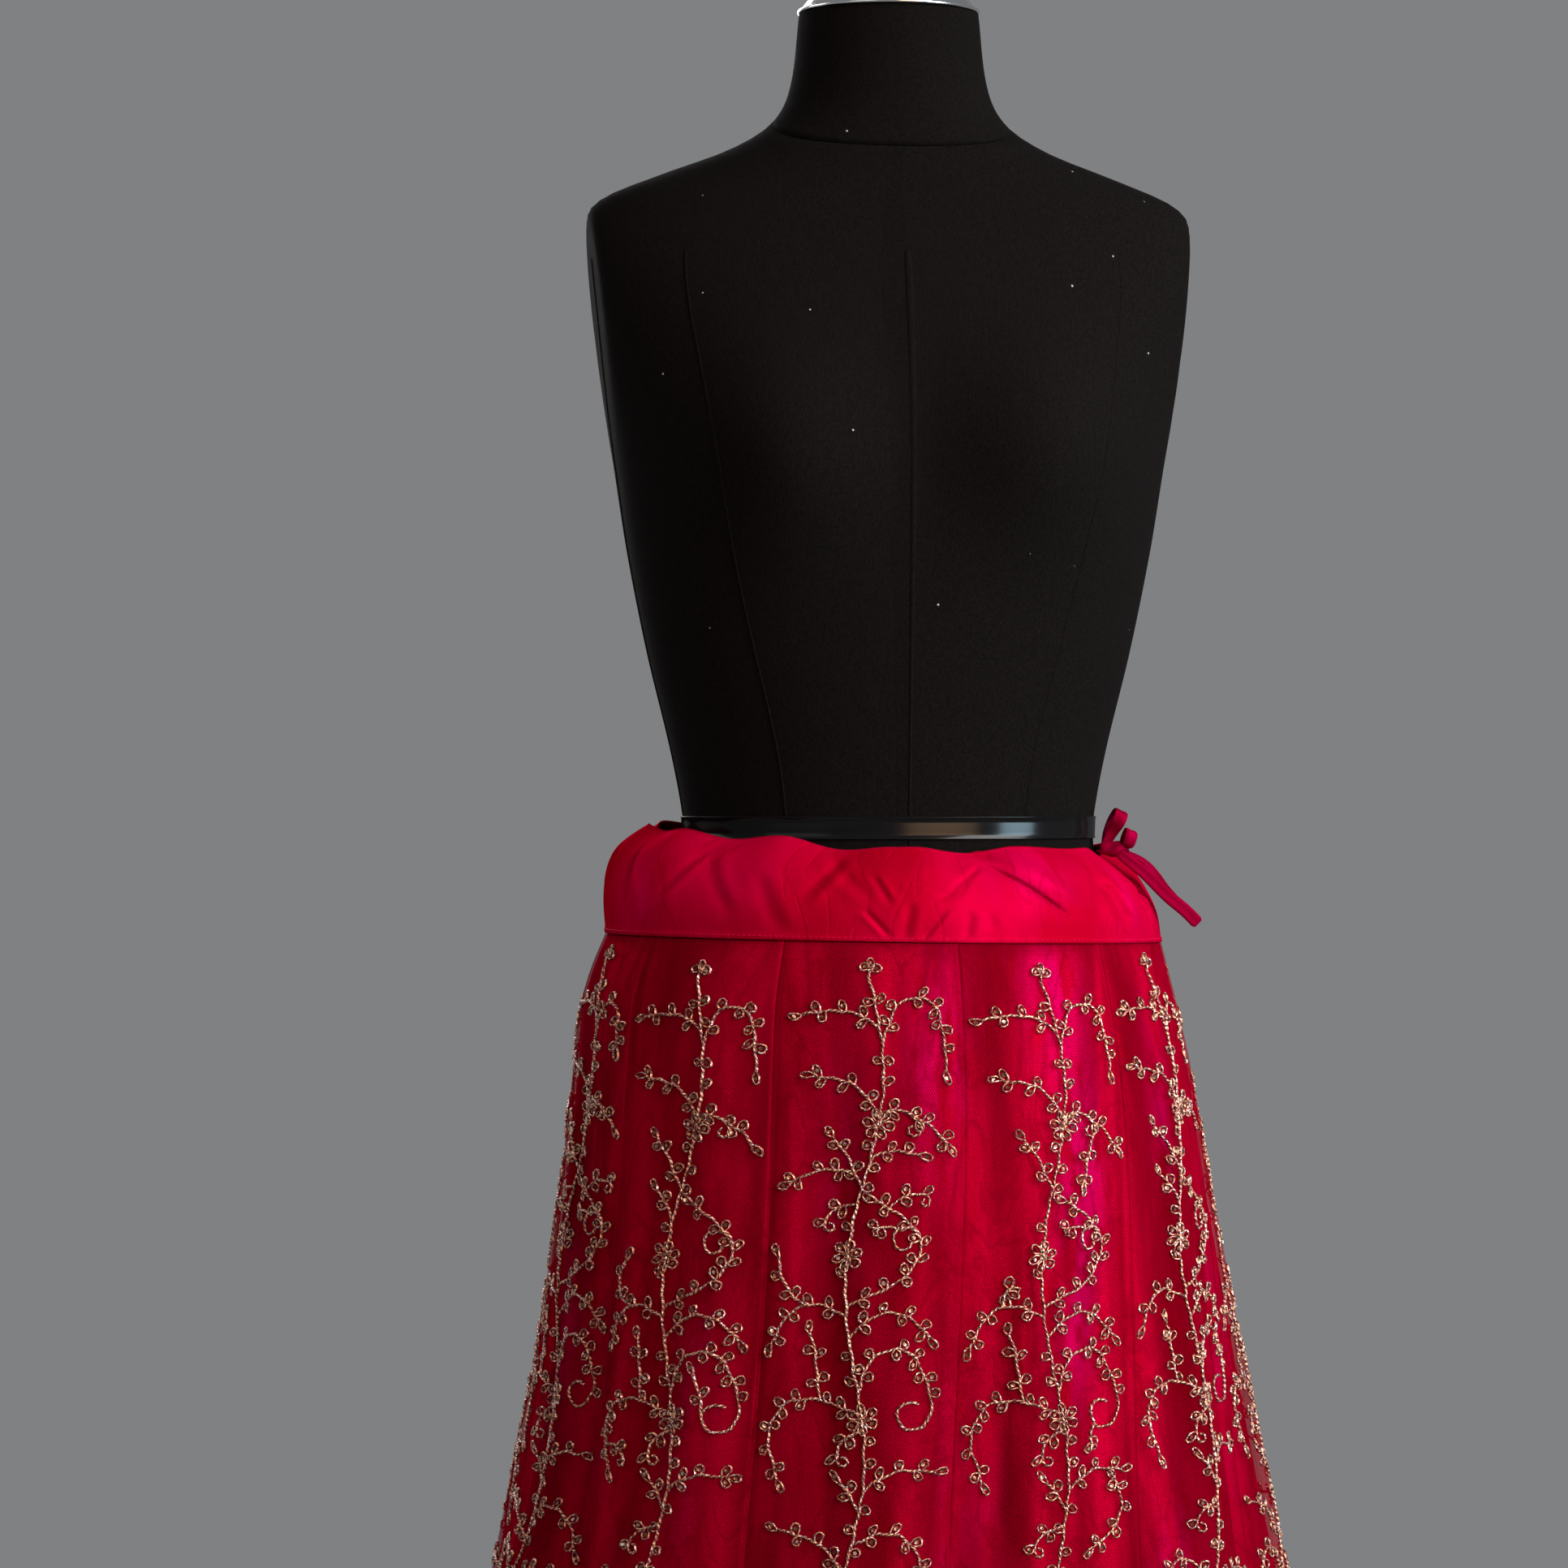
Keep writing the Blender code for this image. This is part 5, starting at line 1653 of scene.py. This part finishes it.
def make_form_seams(jersey):
    """The corded seams of the form's cover: centre front and back, princess lines and sides."""
    height = np.linspace(*FORM_SEAM_HEIGHTS, FORM_SEAM_ROWS)[:, None]
    across = np.array((-1.0, 0.0, 1.0)) * FORM_SEAM_WIDTH / FORM_SEAM_RADIUS
    moved = smoothstep((height - FORM_SEAM_BEND) / FORM_SEAM_BEND_LENGTH)
    points, faces = [], []
    for number, (low_degrees, high_degrees) in enumerate(FORM_SEAMS):
        angle = np.radians(low_degrees + (high_degrees - low_degrees) * moved)
        seam = form_surface(angle + across, height)
        outward = unit(seam * np.array((1.0, 1.0, 0.0)))
        seam = seam + outward * np.array(FORM_SEAM_LIFT)[:, None]
        points.append(seam.reshape(-1, 3))
        faces.append(grid_quads(FORM_SEAM_ROWS, 3)[:, ::-1] + number * FORM_SEAM_ROWS * 3)
    seams = mesh_object("form_seams", np.vstack(points), np.vstack(faces), jersey)
    thicken(seams, FORM_SEAM_WALL)
    declare(seams, "jersey")


def make_belt(material):
    """The glossy belt, its two edges turned up in a fine rim."""
    angle = full_turn(BELT_COLUMNS)
    inner = SEAM_GAP * 2
    outs = [inner, *(BELT_THICKNESS * out for _, out in BELT_PROFILE), inner]
    ups = [0.0, *(up for up, _ in BELT_PROFILE), 1.0]
    rows = []
    for out, up in zip(outs[::-1], ups[::-1]):
        height = np.full_like(angle, BELT_HEIGHT + BELT_WIDTH * (up - 0.5))
        rows.append(body_point(angle, height, out))
    points = np.stack(rows)
    cyclic = {"cyclic_rows": True, "cyclic_columns": True}
    belt = grid_object("form_belt_gloss", points, angle * BELT_RADIUS, points[..., 2], material, **cyclic)
    declare(belt, "waist_belt", "form_belt")


def make_cap(material):
    """The domed metal cap with a small rolled rim."""
    dome = smooth_path(CAP_PROFILE, CAP_STEPS)
    radius, height = CAP_PROFILE[-1]
    rim = [(radius + CAP_RIM * math.sin(t), height + CAP_RIM * math.cos(t)) for t in CAP_RIM_TURNS]
    profile = [*dome[1:-1], *rim, (radius * CAP_UNDERSIDE_SHARE, height - CAP_UNDERSIDE_DROP)]
    angle = full_turn(CAP_COLUMNS)
    rings = [np.stack([r * np.sin(angle), -r * np.cos(angle), 0 * angle + z], -1) for r, z in profile]
    points = np.stack(rings)
    around = angle * CAP_RADIUS
    cap = grid_object("form_cap_chrome", points, around, points[..., 2], material, cyclic_columns=True)
    close_ends(cap)
    declare(cap, "polished_metal", "form_neck_cap")


def dress_node(node, material):
    """Give a kept CAD node its finish."""
    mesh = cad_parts[node].data
    mesh.materials.clear()
    mesh.materials.append(material)


# ---- Camera, light and floor ---------------------------------------------------------------------


def make_camera():
    data = bpy.data.cameras.new("camera")
    data.sensor_width = 36.0
    data.lens = data.sensor_width * CAMERA_DISTANCE / FRAME_WIDTH
    data.shift_x = -AXIS_RIGHT_OF_CENTRE / FRAME_WIDTH
    camera = bpy.data.objects.new("camera", data)
    x, y = CAMERA_DISTANCE * math.sin(CAMERA_TURN), -CAMERA_DISTANCE * math.cos(CAMERA_TURN)
    camera.location = (x, y, CAMERA_HEIGHT)
    camera.rotation_euler = (math.pi / 2, 0.0, CAMERA_TURN)
    bpy.context.scene.collection.objects.link(camera)
    bpy.context.scene.camera = camera


def make_lights():
    for light in LIGHTS:
        data = bpy.data.lights.new(light.name, "AREA")
        data.shape = "RECTANGLE"
        data.size = light.width
        data.size_y = light.tall
        data.spread = math.radians(light.spread)
        data.energy = light.watts
        data.color = light.tint
        lamp = bpy.data.objects.new(light.name, data)
        turn = math.radians(light.turn)
        place = Vector((light.distance * math.sin(turn), -light.distance * math.cos(turn), light.height))
        lamp.location = place
        lamp.rotation_euler = (Vector((0, 0, light.aim_height)) - place).to_track_quat("-Z", "Y").to_euler()
        bpy.context.scene.collection.objects.link(lamp)
    world = bpy.data.worlds.new("studio")
    bpy.context.scene.world = world
    world.use_nodes = True
    background = world.node_tree.nodes["Background"]
    background.inputs["Color"].default_value = WORLD_COLOUR
    background.inputs["Strength"].default_value = WORLD_STRENGTH


def make_floor():
    bm = bmesh.new()
    bmesh.ops.create_circle(bm, cap_ends=True, segments=FLOOR_SIDES, radius=FLOOR_RADIUS)
    mesh = bpy.data.meshes.new("floor")
    bm.to_mesh(mesh)
    bm.free()
    floor = new_object("floor", mesh, floor_material())
    floor.location.z = FLOOR_HEIGHT


def main():
    bpy.context.scene.view_settings.view_transform = "Standard"
    make_camera()
    make_drawstring(cord_fabric_material())
    satin = satin_material(
        "crimson_satin",
        gloss=0.17,
        streaks=(9, 4),
        deep=colour(0.26, 0.0, 0.008),
        bright=colour(0.38, 0.0, 0.024),
        painted_sheen=colour(0.50, 0.0, 0.066),
    )
    lining = satin_material(
        "crimson_satin_lining",
        gloss=0.45,
        streaks=(26, 2.2),
        deep=colour(0.075, 0.0, 0.001),
        bright=colour(0.74, 0.0, 0.033),
        painted_sheen=colour(0.96, 0.0, 0.19),
    )
    band = make_waistband(satin)
    stitches = make_stitches(thread_material())
    make_lining(lining)
    make_kalis(net_material(), zari_material(), sequin_material())
    jersey = jersey_material()
    make_form(jersey)
    make_form_seams(jersey)
    make_belt(gloss_belt_material())
    chrome = chrome_material()
    make_cap(chrome)
    dress_node("stand_pole", chrome)
    dress_node("stand_base", chrome)
    make_lights()
    make_floor()


main()

bpy.context.view_layer.update()
